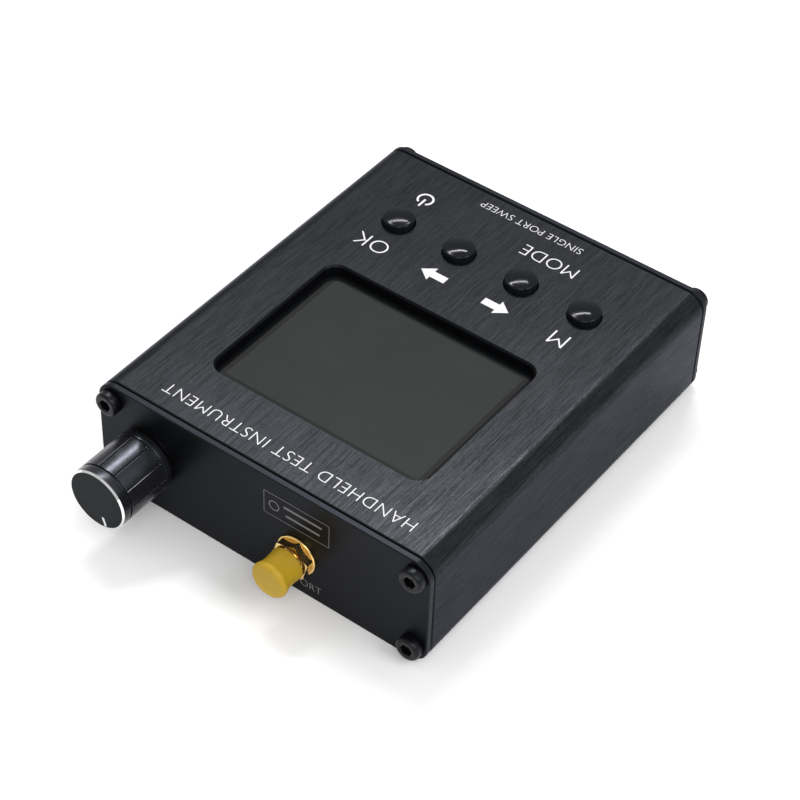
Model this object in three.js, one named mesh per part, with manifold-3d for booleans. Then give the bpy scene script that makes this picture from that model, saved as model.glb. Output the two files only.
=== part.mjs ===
// Handheld one-port network analyzer in a black anodised aluminium extrusion.
// Units are millimetres. The origin is the centre of the case's bottom face, +Z points up
// out of the screen, +Y points to the connector end and +X to the tuning knob's side.

import * as THREE from 'three';
import { mergeVertices } from 'three/addons/utils/BufferGeometryUtils.js';
import Module from 'manifold-3d';

const wasm = await Module();
wasm.setup();

// ---------------------------------------------------------------- driving dimensions

const GAP = 0.3; // clearance between neighbouring pieces
const SEAT = 0.2; // clearance under washers, nuts and plungers

const CASE = { width: 84, length: 100, height: 28, corner: 4.2, wall: 2.2 };
const PANEL_THICKNESS = 1.5;
const PANEL_FACE = CASE.length / 2; // outer face of either end panel
const SHELL_HALF = PANEL_FACE - PANEL_THICKNESS - GAP;
const CEILING = CASE.height - CASE.wall; // underside of the shell's top wall

const SCREW = { x: 38.5, inset: 4.05, head: 2.75, headHeight: 1.9, edge: 0.6, crown: 0.15, edgeInset: 0.3,
  crownInset: 0.7, socketFlats: 2.5, socketDepth: 1.2, shank: 1.35, length: 8, clearance: 1.65, boss: 2.9 };

const WINDOW = { y: 12.2, width: 54, length: 41.3, corner: 3.2 };
const DISPLAY = { width: 59.4, length: 41.9, glass: 1.2, backlight: 1.5, spacer: 1.9, rim: 4.5,
  corner: 0.8, frameMargin: 0.8 };

const KEY = { row: -27.8, pitch: 16.25, offset: -0.45, hole: 4.0, cap: 3.7, flange: 4.6, flangeHeight: 1.1,
  shoulder: 29.3, bend: 29.63, bendRadius: 3.575, edge: 29.8, edgeRadius: 3.25, dome: 30.05,
  domeRadius: 1.8, crown: 30.15, count: 4 };
const KEY_SWITCH = { side: 6, height: 3.2, well: 2.0, wellFloor: 1.7, plunger: 1.7, plungerLength: 1.8,
  plungerReach: 0.7 };

const BOARD = 1.6;
const MAIN_BOARD = { width: 78.4, rear: -46.5, front: 41.3, bottom: 18.2 };
const RF_BOARD = { left: -34, right: 16, rear: 4, front: 44, bottom: 8.4 };
const GUIDE = { reach: 1.6, lower: 0.9, upper: 1.3, root: 0.6 };
const SHIELD = { x: -10, y: 25, width: 34, length: 26, height: 3.2, sheet: 0.4 };
const HEADER = { x: -10, y: 7.5, width: 20, depth: 2.5 };
const SPACER = { radius: 2, bore: 1, xs: [-30, 12], ys: [9, 40] };
const BATTERY = { width: 54, rear: -43, front: 0, bottom: 2.5, height: 7, corner: 2.5 };
const BATTERY_PLUG = { x: 30, y: -34, width: 8, depth: 6, height: 5 };
const PROCESSOR = { x: 6, y: -22, side: 14, height: 1.4 };

const USB = { width: 7.5, height: 2.6, length: 5.5, wall: 0.35, clearance: 0.4, recess: 0.2 };

const PORT = { x: -9.85, z: 10.8, thread: 3.1, hole: 3.4, tip: 58.6, tipBevel: 0.4, bore: 2.3, block: 9,
  blockDepth: 3 };
const PORT_WASHER = { inner: 3.4, outer: 4.8, thickness: 0.5 };
const PORT_NUT = { flats: 8, thickness: 1.8 };
const PORT_CORE = { insulator: 2.0, insulatorBore: 0.95, contact: 0.64, rear: 41.8, front: 56.2 };
const DUST_CAP = { rear: 53.3, front: 59.7, rearRadius: 4.0, skirt: 3.87, skirtAt: 54.45, waist: 3.75,
  waistAt: 56.4, swell: 3.87, swellAt: 57.4, flare: 4.27, flareAt: 58.6, rim: 0.3, bore: 3.4, end: 0.6 };

const KNOB = { x: 28.9, z: 14, rear: 51, front: 66, radius: 7.15, bevel: 0.5, rearBevel: 0.2, groove: 0.35,
  grooveWidth: 0.5, rearBand: 2, frontBand: 2.5, recess: 6.3, recessDepth: 3.2, sleeve: 4.8 };
const ENCODER = { width: 12.4, height: 13, depth: 6.4, pocket: 3.1, pocketDepth: 5.1, bushing: 3.5,
  bushingBore: 3.05, bushingTip: 55, hole: 3.7, shaft: 2.8, shaftRear: 44.9, shaftTip: 61.5,
  flatLength: 6, flatHeight: 1.6 };
const ENCODER_WASHER = { outer: 5.6, thickness: 0.5 };
const ENCODER_NUT = { flats: 10, thickness: 2 };
const PUSH_DISC = { radius: 2.6, thickness: 0.7 };
const ENCODER_BOARD = { width: 15, bottom: 7.4, top: 17 };
const INSERT = { rear: 55.8, front: 62, bore: 3.0, outer: 4.6 };

const FINE = 32; // segments around a visible round piece
const MEDIUM = 24; // segments around a smaller visible one
const COARSE = 20; // segments around a hidden or small round piece
const TINY = 12; // segments around a pin or spacer
const CORNER_STEPS = 5; // segments around a quarter corner
const OVERCUT = 1; // how far a cutting tool runs past the face it leaves

// ---------------------------------------------------------------- materials

const finish = (color, roughness, metalness) =>
  new THREE.MeshStandardMaterial({ color, roughness, metalness });

const FINISH = {
  anodised: finish(0x303336, 0.5, 0.75),
  blackScrew: finish(0x17181a, 0.4, 0.7),
  glossKey: finish(0x141517, 0.22, 0.0),
  glass: finish(0x3d4043, 0.12, 0.0),
  board: finish(0x14532d, 0.6, 0.0),
  tin: finish(0xb4b6b5, 0.35, 0.9),
  plastic: finish(0x1d1d1f, 0.6, 0.0),
  gold: finish(0xd6a548, 0.25, 1.0),
  brass: finish(0xb78f48, 0.35, 0.9),
  capYellow: finish(0xc8a32a, 0.45, 0.0),
  knob: finish(0x26282a, 0.45, 0.6),
  insulator: finish(0xe9e6dc, 0.5, 0.0),
  battery: finish(0x9aa3ad, 0.4, 0.4),
};

// ---------------------------------------------------------------- solids and joining

// A closed mesh as a manifold solid: only the positions are kept and shared corners merged.
function solid(geometry) {
  const bare = geometry.clone();
  for (const attribute of ['normal', 'uv']) {
    bare.deleteAttribute(attribute);
  }
  const merged = mergeVertices(bare, 1e-4);
  return new wasm.Manifold(new wasm.Mesh({
    numProp: 3,
    vertProperties: merged.attributes.position.array,
    triVerts: new Uint32Array(merged.index.array),
  }));
}

// The joined or cut solid back as a three.js geometry.
function geometryOf(body) {
  const mesh = body.getMesh();
  const geometry = new THREE.BufferGeometry();
  geometry.setAttribute('position', new THREE.BufferAttribute(mesh.vertProperties, 3));
  geometry.setIndex(new THREE.BufferAttribute(mesh.triVerts, 1));
  geometry.computeVertexNormals();
  return geometry;
}

const cut = (body, tools) => tools.reduce((rest, tool) => rest.subtract(tool), body);
const join = (bodies) => bodies.reduce((whole, piece) => whole.add(piece));

// A box between two corners.
function block([x0, y0, z0], [x1, y1, z1]) {
  return new THREE.BoxGeometry(x1 - x0, y1 - y0, z1 - z0)
    .translate((x0 + x1) / 2, (y0 + y1) / 2, (z0 + z1) / 2);
}

// A round rod along Y between two stations.
function rodY(radius, x, z, rear, front, segments = COARSE) {
  return new THREE.CylinderGeometry(radius, radius, front - rear, segments)
    .translate(x, (rear + front) / 2, z);
}

// A round rod along Z between two heights.
function rodZ(radius, x, y, bottom, top, segments = COARSE) {
  return new THREE.CylinderGeometry(radius, radius, top - bottom, segments)
    .rotateX(Math.PI / 2)
    .translate(x, y, (bottom + top) / 2);
}

// A turned piece on an axis along Y; the profile holds [radius, station] pairs.
function turnedY(profile, x, z, segments = FINE) {
  const points = profile.map(([radius, station]) => new THREE.Vector2(radius, station));
  return new THREE.LatheGeometry(points, segments).translate(x, 0, z);
}

// A turned piece on an axis along Z; the profile holds [radius, height] pairs.
function turnedZ(profile, x, y, segments = FINE) {
  const points = profile.map(([radius, height]) => new THREE.Vector2(radius, height));
  return new THREE.LatheGeometry(points, segments).rotateX(Math.PI / 2).translate(x, y, 0);
}

// A flat ring around an axis along Y.
function ringY(inner, outer, x, z, rear, front, segments = FINE) {
  const section = [[inner, rear], [outer, rear], [outer, front], [inner, front], [inner, rear]];
  return turnedY(section, x, z, segments);
}

// A hexagonal prism along Y, its flats the given distance apart.
function hexY(flats, x, z, rear, front, turn = 0) {
  return new THREE.CylinderGeometry(flats / Math.sqrt(3), flats / Math.sqrt(3), front - rear, 6)
    .rotateY(turn)
    .translate(x, (rear + front) / 2, z);
}

// A rectangle with round corners, centred on the given point.
function roundedRectangle(width, height, radius, x = 0, y = 0) {
  const right = width / 2 - radius;
  const top = height / 2 - radius;
  const shape = new THREE.Shape();
  shape.absarc(x + right, y - top, radius, -Math.PI / 2, 0);
  shape.absarc(x + right, y + top, radius, 0, Math.PI / 2);
  shape.absarc(x - right, y + top, radius, Math.PI / 2, Math.PI);
  shape.absarc(x - right, y - top, radius, Math.PI, Math.PI * 1.5);
  shape.closePath();
  return shape;
}

const extruded = (shape, depth) => new THREE.ExtrudeGeometry(shape,
  { depth, bevelEnabled: false, curveSegments: CORNER_STEPS });

// An outline in X and Z carried along Y from the rear station to the front one.
function prismY(shape, rear, front) {
  return extruded(shape, front - rear).rotateX(Math.PI / 2).translate(0, front, 0);
}

// An outline in X and Y carried up Z.
function prismZ(shape, bottom, top) {
  return extruded(shape, top - bottom).translate(0, 0, bottom);
}

const screwHeights = [SCREW.inset, CASE.height - SCREW.inset];
const screwCentres = [-SCREW.x, SCREW.x].flatMap((x) => screwHeights.map((z) => [x, z]));
const keyCentres = Array.from({ length: KEY.count },
  (_, index) => KEY.offset + (index - (KEY.count - 1) / 2) * KEY.pitch);
const mainTop = MAIN_BOARD.bottom + BOARD;
const rfTop = RF_BOARD.bottom + BOARD;
const usbTop = MAIN_BOARD.bottom - SEAT;

// ---------------------------------------------------------------- case

const caseOutline = () => roundedRectangle(CASE.width, CASE.height, CASE.corner, 0, CASE.height / 2);

// A tube with a screw boss in each corner, card guides, the display window and the key holes.
function caseShell() {
  const inside = roundedRectangle(CASE.width - 2 * CASE.wall, CASE.height - 2 * CASE.wall,
    CASE.corner - CASE.wall, 0, CASE.height / 2);
  const tube = solid(prismY(caseOutline(), -SHELL_HALF, SHELL_HALF))
    .subtract(solid(prismY(inside, -SHELL_HALF - OVERCUT, SHELL_HALF + OVERCUT)));
  const bosses = screwCentres.map(([x, z]) => solid(rodY(SCREW.boss, x, z, -SHELL_HALF, SHELL_HALF)));
  const channels = screwCentres.map(([x, z]) =>
    solid(rodY(SCREW.clearance, x, z, -SHELL_HALF - OVERCUT, SHELL_HALF + OVERCUT)));
  const wallFace = CASE.width / 2 - CASE.wall;
  const guides = [-1, 1].flatMap((side) => [
    [MAIN_BOARD.bottom - GAP - GUIDE.lower, MAIN_BOARD.bottom - GAP],
    [mainTop + GAP, mainTop + GAP + GUIDE.upper],
  ].map(([bottom, top]) => {
    const edges = [side * (wallFace - GUIDE.reach), side * (wallFace + GUIDE.root)].sort((a, b) => a - b);
    return solid(block([edges[0], -SHELL_HALF, bottom], [edges[1], SHELL_HALF, top]));
  }));
  const windowCut = solid(prismZ(roundedRectangle(WINDOW.width, WINDOW.length, WINDOW.corner, 0, WINDOW.y),
    CEILING - OVERCUT, CASE.height + OVERCUT));
  const keyHoles = keyCentres.map((x) =>
    solid(rodZ(KEY.hole, x, KEY.row, CEILING - OVERCUT, CASE.height + OVERCUT, FINE)));
  return geometryOf(cut(join([tube, ...bosses, ...guides]), [...channels, windowCut, ...keyHoles]));
}

// An end panel with its four screw holes and whatever else passes through it.
function endPanel(side, openings) {
  const [rear, front] = [side * PANEL_FACE, side * (PANEL_FACE - PANEL_THICKNESS)].sort((a, b) => a - b);
  const plate = solid(prismY(caseOutline(), rear, front));
  const screwHoles = screwCentres.map(([x, z]) => solid(
    rodY(SCREW.clearance, x, z, rear - OVERCUT, front + OVERCUT),
  ));
  return geometryOf(cut(plate, [...screwHoles, ...openings]));
}

function frontPanel() {
  const [rear, front] = [PANEL_FACE - PANEL_THICKNESS - OVERCUT, PANEL_FACE + OVERCUT];
  return endPanel(1, [
    solid(rodY(PORT.hole, PORT.x, PORT.z, rear, front, FINE)),
    solid(rodY(ENCODER.hole, KNOB.x, KNOB.z, rear, front, FINE)),
  ]);
}

function rearPanel() {
  const half = USB.width / 2 + USB.clearance;
  return endPanel(-1, [solid(block(
    [-half, -PANEL_FACE - OVERCUT, usbTop - USB.height - USB.clearance],
    [half, -PANEL_FACE + PANEL_THICKNESS + OVERCUT, usbTop + USB.clearance],
  ))]);
}

// A button-head screw whose head stands outside the panel on the given end.
function panelScrew(side, x, z) {
  const seat = PANEL_FACE + SEAT;
  const top = seat + SCREW.headHeight;
  const head = [[0, seat], [SCREW.head, seat], [SCREW.head, top - SCREW.edge],
    [SCREW.head - SCREW.edgeInset, top - SCREW.crown], [SCREW.head - SCREW.crownInset, top], [0, top]];
  const shank = solid(rodY(SCREW.shank, 0, 0, seat - SCREW.length, seat + SCREW.edge));
  const socket = solid(hexY(SCREW.socketFlats, 0, 0, top - SCREW.socketDepth, top + OVERCUT));
  const body = solid(turnedY(head, 0, 0, MEDIUM)).add(shank).subtract(socket);
  const geometry = geometryOf(body);
  return (side < 0 ? geometry.rotateZ(Math.PI) : geometry).translate(x, 0, z);
}

// ---------------------------------------------------------------- display

const glassTop = CEILING - GAP;
const glassBottom = glassTop - DISPLAY.glass;
const backlightTop = glassBottom - SEAT;
const backlightBottom = backlightTop - DISPLAY.backlight;

function displayLayer(bottom, top, margin = 0) {
  const width = DISPLAY.width + margin;
  const length = DISPLAY.length + margin;
  const outline = roundedRectangle(width, length, DISPLAY.corner, 0, WINDOW.y);
  return prismZ(outline, bottom, top);
}

function displaySpacer() {
  const top = backlightBottom - SEAT;
  const ring = roundedRectangle(DISPLAY.width, DISPLAY.length, DISPLAY.corner, 0, WINDOW.y);
  ring.holes.push(roundedRectangle(DISPLAY.width - 2 * DISPLAY.rim, DISPLAY.length - 2 * DISPLAY.rim,
    DISPLAY.corner, 0, WINDOW.y));
  return prismZ(ring, top - DISPLAY.spacer, top);
}

// ---------------------------------------------------------------- keys

const switchBottom = mainTop + GAP;
const switchTop = switchBottom + KEY_SWITCH.height;
const plungerTop = switchTop + KEY_SWITCH.plungerReach;
const capBottom = plungerTop + SEAT;

function keyCap(x) {
  const flangeTop = capBottom + KEY.flangeHeight;
  return turnedZ([
    [0, capBottom], [KEY.flange, capBottom], [KEY.flange, flangeTop], [KEY.cap, flangeTop],
    [KEY.cap, KEY.shoulder], [KEY.bendRadius, KEY.bend], [KEY.edgeRadius, KEY.edge],
    [KEY.domeRadius, KEY.dome], [0, KEY.crown],
  ], x, KEY.row);
}

function keySwitch(x) {
  const half = KEY_SWITCH.side / 2;
  const body = solid(block([x - half, KEY.row - half, switchBottom], [x + half, KEY.row + half, switchTop]));
  const wellFloor = switchTop - KEY_SWITCH.wellFloor;
  const well = solid(rodZ(KEY_SWITCH.well, x, KEY.row, wellFloor, switchTop + OVERCUT));
  return geometryOf(body.subtract(well));
}

const plungerBottom = plungerTop - KEY_SWITCH.plungerLength;
const keyPlunger = (x) => rodZ(KEY_SWITCH.plunger, x, KEY.row, plungerBottom, plungerTop);

// ---------------------------------------------------------------- boards, battery and socket

function mainBoard() {
  return block([-MAIN_BOARD.width / 2, MAIN_BOARD.rear, MAIN_BOARD.bottom],
    [MAIN_BOARD.width / 2, MAIN_BOARD.front, mainTop]);
}

function rfBoard() {
  return block([RF_BOARD.left, RF_BOARD.rear, RF_BOARD.bottom], [RF_BOARD.right, RF_BOARD.front, rfTop]);
}

// A sheet-metal can, open below, over the radio circuits.
function shieldCan() {
  const bottom = rfTop + SEAT;
  const box = (inset, low, high) => solid(block(
    [SHIELD.x - SHIELD.width / 2 + inset, SHIELD.y - SHIELD.length / 2 + inset, low],
    [SHIELD.x + SHIELD.width / 2 - inset, SHIELD.y + SHIELD.length / 2 - inset, high],
  ));
  return geometryOf(box(0, bottom, bottom + SHIELD.height)
    .subtract(box(SHIELD.sheet, bottom - OVERCUT, bottom + SHIELD.height - SHIELD.sheet)));
}

function boardHeader() {
  return block([HEADER.x - HEADER.width / 2, HEADER.y - HEADER.depth / 2, rfTop + SEAT],
    [HEADER.x + HEADER.width / 2, HEADER.y + HEADER.depth / 2, MAIN_BOARD.bottom - SEAT]);
}

function boardSpacer(x, y) {
  const [bottom, top] = [rfTop + SEAT, MAIN_BOARD.bottom - SEAT];
  return turnedZ([[SPACER.bore, bottom], [SPACER.radius, bottom], [SPACER.radius, top], [SPACER.bore, top],
    [SPACER.bore, bottom]], x, y, TINY);
}

function batteryPack() {
  const middle = (BATTERY.rear + BATTERY.front) / 2;
  const outline = roundedRectangle(BATTERY.width, BATTERY.front - BATTERY.rear, BATTERY.corner, 0, middle);
  return prismZ(outline, BATTERY.bottom, BATTERY.bottom + BATTERY.height);
}

function batteryPlug() {
  const top = MAIN_BOARD.bottom - SEAT;
  return block([BATTERY_PLUG.x - BATTERY_PLUG.width / 2, BATTERY_PLUG.y - BATTERY_PLUG.depth / 2,
    top - BATTERY_PLUG.height],
  [BATTERY_PLUG.x + BATTERY_PLUG.width / 2, BATTERY_PLUG.y + BATTERY_PLUG.depth / 2, top]);
}

function processorChip() {
  const top = MAIN_BOARD.bottom - SEAT;
  const half = PROCESSOR.side / 2;
  return block([PROCESSOR.x - half, PROCESSOR.y - half, top - PROCESSOR.height],
    [PROCESSOR.x + half, PROCESSOR.y + half, top]);
}

// The charging socket's metal shell, open to the rear.
function usbShell() {
  const rear = -PANEL_FACE + USB.recess;
  const box = (inset, from, to) => solid(block(
    [-USB.width / 2 + inset, from, usbTop - USB.height + inset],
    [USB.width / 2 - inset, to, usbTop - inset],
  ));
  const outside = box(0, rear, rear + USB.length);
  const inside = box(USB.wall, rear - OVERCUT, rear + USB.length - USB.wall);
  return geometryOf(outside.subtract(inside));
}

// ---------------------------------------------------------------- radio-frequency port

// The jack's square block sits behind the panel and its threaded barrel passes through it.
function portBody() {
  const blockFront = PANEL_FACE - PANEL_THICKNESS - GAP;
  const blockRear = blockFront - PORT.blockDepth;
  const half = PORT.block / 2;
  const base = solid(block(
    [PORT.x - half, blockRear, PORT.z - half],
    [PORT.x + half, blockFront, PORT.z + half],
  ));
  const barrel = solid(turnedY([
    [0, blockRear + OVERCUT], [PORT.thread, blockRear + OVERCUT],
    [PORT.thread, PORT.tip - PORT.tipBevel], [PORT.thread - PORT.tipBevel, PORT.tip],
    [0, PORT.tip],
  ], PORT.x, PORT.z));
  const bore = solid(rodY(PORT.bore, PORT.x, PORT.z, blockRear - OVERCUT, PORT.tip + OVERCUT, FINE));
  return geometryOf(base.add(barrel).subtract(bore));
}

function portInsulator() {
  const rear = PANEL_FACE - PANEL_THICKNESS - PORT.blockDepth;
  return ringY(PORT_CORE.insulatorBore, PORT_CORE.insulator, PORT.x, PORT.z, rear, PORT_CORE.front, COARSE);
}

const portContact = () => rodY(PORT_CORE.contact, PORT.x, PORT.z, PORT_CORE.rear, PORT_CORE.front, TINY);

const portWasherRear = PANEL_FACE + SEAT;
const portWasherFront = portWasherRear + PORT_WASHER.thickness;
const portWasher = () => ringY(PORT_WASHER.inner, PORT_WASHER.outer, PORT.x, PORT.z,
  portWasherRear, portWasherFront);

// A hexagon nut with a clearance bore.
function hexNut(flats, bore, x, z, rear, thickness, turn) {
  const prism = solid(hexY(flats, x, z, rear, rear + thickness, turn));
  const hole = solid(rodY(bore, x, z, rear - OVERCUT, rear + thickness + OVERCUT, FINE));
  return geometryOf(prism.subtract(hole));
}

// A push-on cap: a cup whose waist is drawn in and whose closed end flares out.
function dustCap() {
  const { rear, front, rearRadius, skirt, skirtAt, waist, waistAt, swell, swellAt, flare, flareAt, rim, bore,
    end } = DUST_CAP;
  return turnedY([
    [bore, rear], [rearRadius, rear], [skirt, skirtAt], [waist, waistAt], [swell, swellAt], [flare, flareAt],
    [flare, front - rim], [flare - rim, front], [0, front], [0, front - end], [bore, front - end],
    [bore, rear],
  ], PORT.x, PORT.z);
}

// ---------------------------------------------------------------- tuning knob and encoder

const encoderFront = PANEL_FACE - PANEL_THICKNESS - GAP;
const encoderRear = encoderFront - ENCODER.depth;

function encoderBody() {
  const box = solid(block([KNOB.x - ENCODER.width / 2, encoderRear, KNOB.z - ENCODER.height / 2],
    [KNOB.x + ENCODER.width / 2, encoderFront, KNOB.z + ENCODER.height / 2]));
  const pocketFloor = encoderFront - ENCODER.pocketDepth;
  const pocket = solid(rodY(ENCODER.pocket, KNOB.x, KNOB.z, pocketFloor, encoderFront + OVERCUT));
  return geometryOf(box.subtract(pocket));
}

const encoderBushing = () => ringY(ENCODER.bushingBore, ENCODER.bushing, KNOB.x, KNOB.z,
  encoderFront + SEAT, ENCODER.bushingTip, MEDIUM);

const encoderWasherRear = PANEL_FACE + SEAT;
const encoderNutRear = encoderWasherRear + ENCODER_WASHER.thickness + SEAT;
const encoderWasher = () => ringY(ENCODER.hole, ENCODER_WASHER.outer, KNOB.x, KNOB.z,
  encoderWasherRear, encoderWasherRear + ENCODER_WASHER.thickness, MEDIUM);

// The shaft is flatted at its tip, as the knob's insert needs.
function encoderShaft() {
  const rod = solid(rodY(ENCODER.shaft, KNOB.x, KNOB.z, ENCODER.shaftRear, ENCODER.shaftTip, MEDIUM));
  const flat = solid(block(
    [KNOB.x - ENCODER.shaft - OVERCUT, ENCODER.shaftTip - ENCODER.flatLength, KNOB.z + ENCODER.flatHeight],
    [KNOB.x + ENCODER.shaft + OVERCUT, ENCODER.shaftTip + OVERCUT, KNOB.z + ENCODER.shaft + OVERCUT],
  ));
  return geometryOf(rod.subtract(flat));
}

function encoderActuator() {
  const front = ENCODER.shaftRear - GAP;
  return rodY(PUSH_DISC.radius, KNOB.x, KNOB.z, front - PUSH_DISC.thickness, front);
}

function encoderBoard() {
  const front = encoderRear - GAP;
  return block([KNOB.x - ENCODER_BOARD.width / 2, front - BOARD, ENCODER_BOARD.bottom],
    [KNOB.x + ENCODER_BOARD.width / 2, front, ENCODER_BOARD.top]);
}

// A turned knob with a bevelled face, two grooves and a stepped bore for nut, bushing and insert.
function knobBody() {
  const { rear, front, radius, bevel, rearBevel, groove, grooveWidth, recess, sleeve } = KNOB;
  const half = grooveWidth / 2;
  const recessFloor = rear + KNOB.recessDepth;
  const sleeveFloor = INSERT.front + GAP;
  const grooveAt = (station) => [
    [radius, station - half], [radius - groove, station - half],
    [radius - groove, station + half], [radius, station + half],
  ];
  return turnedY([
    [recess, rear], [radius - rearBevel, rear], [radius, rear + rearBevel],
    ...grooveAt(rear + KNOB.rearBand), ...grooveAt(front - KNOB.frontBand),
    [radius, front - bevel], [radius - bevel, front], [0, front],
    [0, sleeveFloor], [sleeve, sleeveFloor], [sleeve, recessFloor], [recess, recessFloor],
    [recess, rear],
  ], KNOB.x, KNOB.z, FINE + 4);
}

const knobInsert = () => ringY(INSERT.bore, INSERT.outer, KNOB.x, KNOB.z, INSERT.rear, INSERT.front, MEDIUM);

// ---------------------------------------------------------------- assembly

const analyzer = new THREE.Group();

function place(name, geometry, material) {
  const mesh = new THREE.Mesh(geometry, material);
  mesh.name = name;
  analyzer.add(mesh);
}

place('case_shell', caseShell(), FINISH.anodised);
place('front_panel', frontPanel(), FINISH.anodised);
place('rear_panel', rearPanel(), FINISH.anodised);
screwCentres.forEach(([x, z], index) => {
  place(`front_screw_${index + 1}`, panelScrew(1, x, z), FINISH.blackScrew);
  place(`rear_screw_${index + 1}`, panelScrew(-1, x, z), FINISH.blackScrew);
});

place('display_glass', displayLayer(glassBottom, glassTop), FINISH.glass);
place('display_backlight', displayLayer(backlightBottom, backlightTop, DISPLAY.frameMargin), FINISH.tin);
place('display_spacer', displaySpacer(), FINISH.plastic);

keyCentres.forEach((x, index) => {
  place(`key_cap_${index + 1}`, keyCap(x), FINISH.glossKey);
  place(`key_switch_${index + 1}`, keySwitch(x), FINISH.plastic);
  place(`key_plunger_${index + 1}`, keyPlunger(x), FINISH.plastic);
});

place('main_board', mainBoard(), FINISH.board);
place('rf_board', rfBoard(), FINISH.board);
place('rf_shield_can', shieldCan(), FINISH.tin);
place('board_header', boardHeader(), FINISH.plastic);
SPACER.xs.flatMap((x) => SPACER.ys.map((y) => [x, y])).forEach(([x, y], index) => {
  place(`board_spacer_${index + 1}`, boardSpacer(x, y), FINISH.brass);
});
place('battery_pack', batteryPack(), FINISH.battery);
place('battery_plug', batteryPlug(), FINISH.insulator);
place('processor_chip', processorChip(), FINISH.plastic);
place('usb_shell', usbShell(), FINISH.tin);

place('port_body', portBody(), FINISH.gold);
place('port_insulator', portInsulator(), FINISH.insulator);
place('port_contact', portContact(), FINISH.gold);
place('port_washer', portWasher(), FINISH.gold);
place('port_nut', hexNut(PORT_NUT.flats, PORT_WASHER.inner, PORT.x, PORT.z, portWasherFront + SEAT,
  PORT_NUT.thickness, 0), FINISH.gold);
place('dust_cap', dustCap(), FINISH.capYellow);

place('encoder_body', encoderBody(), FINISH.plastic);
place('encoder_bushing', encoderBushing(), FINISH.tin);
place('encoder_washer', encoderWasher(), FINISH.tin);
place('encoder_nut', hexNut(ENCODER_NUT.flats, ENCODER.hole, KNOB.x, KNOB.z, encoderNutRear,
  ENCODER_NUT.thickness, 0), FINISH.tin);
place('encoder_actuator', encoderActuator(), FINISH.plastic);
place('encoder_shaft', encoderShaft(), FINISH.tin);
place('encoder_board', encoderBoard(), FINISH.board);
place('knob_body', knobBody(), FINISH.knob);
place('knob_insert', knobInsert(), FINISH.plastic);

export default analyzer;
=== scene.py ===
"""Looks of a handheld one-port network analyzer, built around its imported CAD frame.

Sizes in the classes are millimetres, and meshes are made in metres. +Z is up out of the display, +Y points
to the connector end and +X to the tuning knob's side, as in the frame.
"""

import logging
import math
from dataclasses import dataclass
from enum import Enum
from typing import Callable, Sequence

import bmesh
import bpy
import numpy as np
from mathutils import Euler, Matrix, Vector
from mathutils.geometry import tessellate_polygon


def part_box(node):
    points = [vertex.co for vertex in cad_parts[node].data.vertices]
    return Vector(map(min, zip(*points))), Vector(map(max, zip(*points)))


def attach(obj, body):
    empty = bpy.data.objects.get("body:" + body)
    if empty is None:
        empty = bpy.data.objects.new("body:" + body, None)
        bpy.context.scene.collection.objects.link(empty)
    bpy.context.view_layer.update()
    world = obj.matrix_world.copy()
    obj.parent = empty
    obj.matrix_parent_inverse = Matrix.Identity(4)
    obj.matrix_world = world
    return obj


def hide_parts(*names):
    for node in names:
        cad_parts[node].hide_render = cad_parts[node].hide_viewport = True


Array = np.ndarray
Placer = Callable[[Array], Array]

MM = 0.001
FULL_TURN = 2 * math.pi
QUARTER_TURN = math.pi / 2
MERGE = 2e-6  # metres: corners closer than this are one corner
STRAIGHT = 1e-3  # radians: a corner that bends less than this is left as it is
NUMBERS = range(1, 5)  # of the keys, of each end's screws and of the board's spacers
LOG = logging.getLogger("analyzer")

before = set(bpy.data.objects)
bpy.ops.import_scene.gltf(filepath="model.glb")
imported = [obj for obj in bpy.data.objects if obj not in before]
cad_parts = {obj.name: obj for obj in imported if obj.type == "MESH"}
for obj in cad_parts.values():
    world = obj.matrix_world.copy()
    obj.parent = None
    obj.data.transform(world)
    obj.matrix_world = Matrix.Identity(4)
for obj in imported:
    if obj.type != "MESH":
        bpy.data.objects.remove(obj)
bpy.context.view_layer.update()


# ------------------------------------------------------------------ surfaces


class Axis(Enum):
    """The direction in which a turned piece's axis runs."""

    ALONG_Y = "y"
    ALONG_Z = "z"


@dataclass(frozen=True)
class Extent:
    """A CAD node's box at rest, in millimetres."""

    low: Array
    high: Array

    @classmethod
    def of(cls, node: str) -> "Extent":
        """Reads the box of the named CAD node."""
        low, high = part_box(node)
        return cls(np.array(low) / MM, np.array(high) / MM)

    @property
    def centre(self) -> Array:
        """The middle of the box."""
        return (self.low + self.high) / 2

    @property
    def size(self) -> Array:
        """The box's three lengths."""
        return self.high - self.low


@dataclass(frozen=True)
class Patch:
    """A stretch of surface: its points in millimetres, its faces' corners and its finish's number."""

    points: Array
    faces: Array
    finish: int | Array = 0


@dataclass(frozen=True)
class FlatPlace:
    """A flat place for outlines and marks: its middle, and the ways its right and its up run."""

    origin: Array
    right: Array
    up: Array

    def __call__(self, points: Array) -> Array:
        """Carries points given as right, up and out onto this place.

        Args:
            points: The flat points, with two or three columns.

        Returns:
            The same points in the object's frame.
        """
        out = np.cross(self.right, self.up)
        height = points[:, 2:3] if points.shape[1] > 2 else np.zeros((len(points), 1))
        return self.origin + points[:, 0:1] * self.right + points[:, 1:2] * self.up + height * out


def facing_up(x: float, y: float, z: float) -> FlatPlace:
    """A level place at a height, read from the key end."""
    return FlatPlace(np.array([x, y, z]), np.array([1.0, 0, 0]), np.array([0, 1.0, 0]))


def facing_front(x: float, y: float, z: float) -> FlatPlace:
    """An upright place that faces +Y, read from the connector end."""
    return FlatPlace(np.array([x, y, z]), np.array([-1.0, 0, 0]), np.array([0, 0, 1.0]))


def standing(loop: Array, y: float) -> Array:
    """A flat outline given in X and Z, stood up at a station along Y."""
    return np.insert(loop, 1, y, axis=1)


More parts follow.
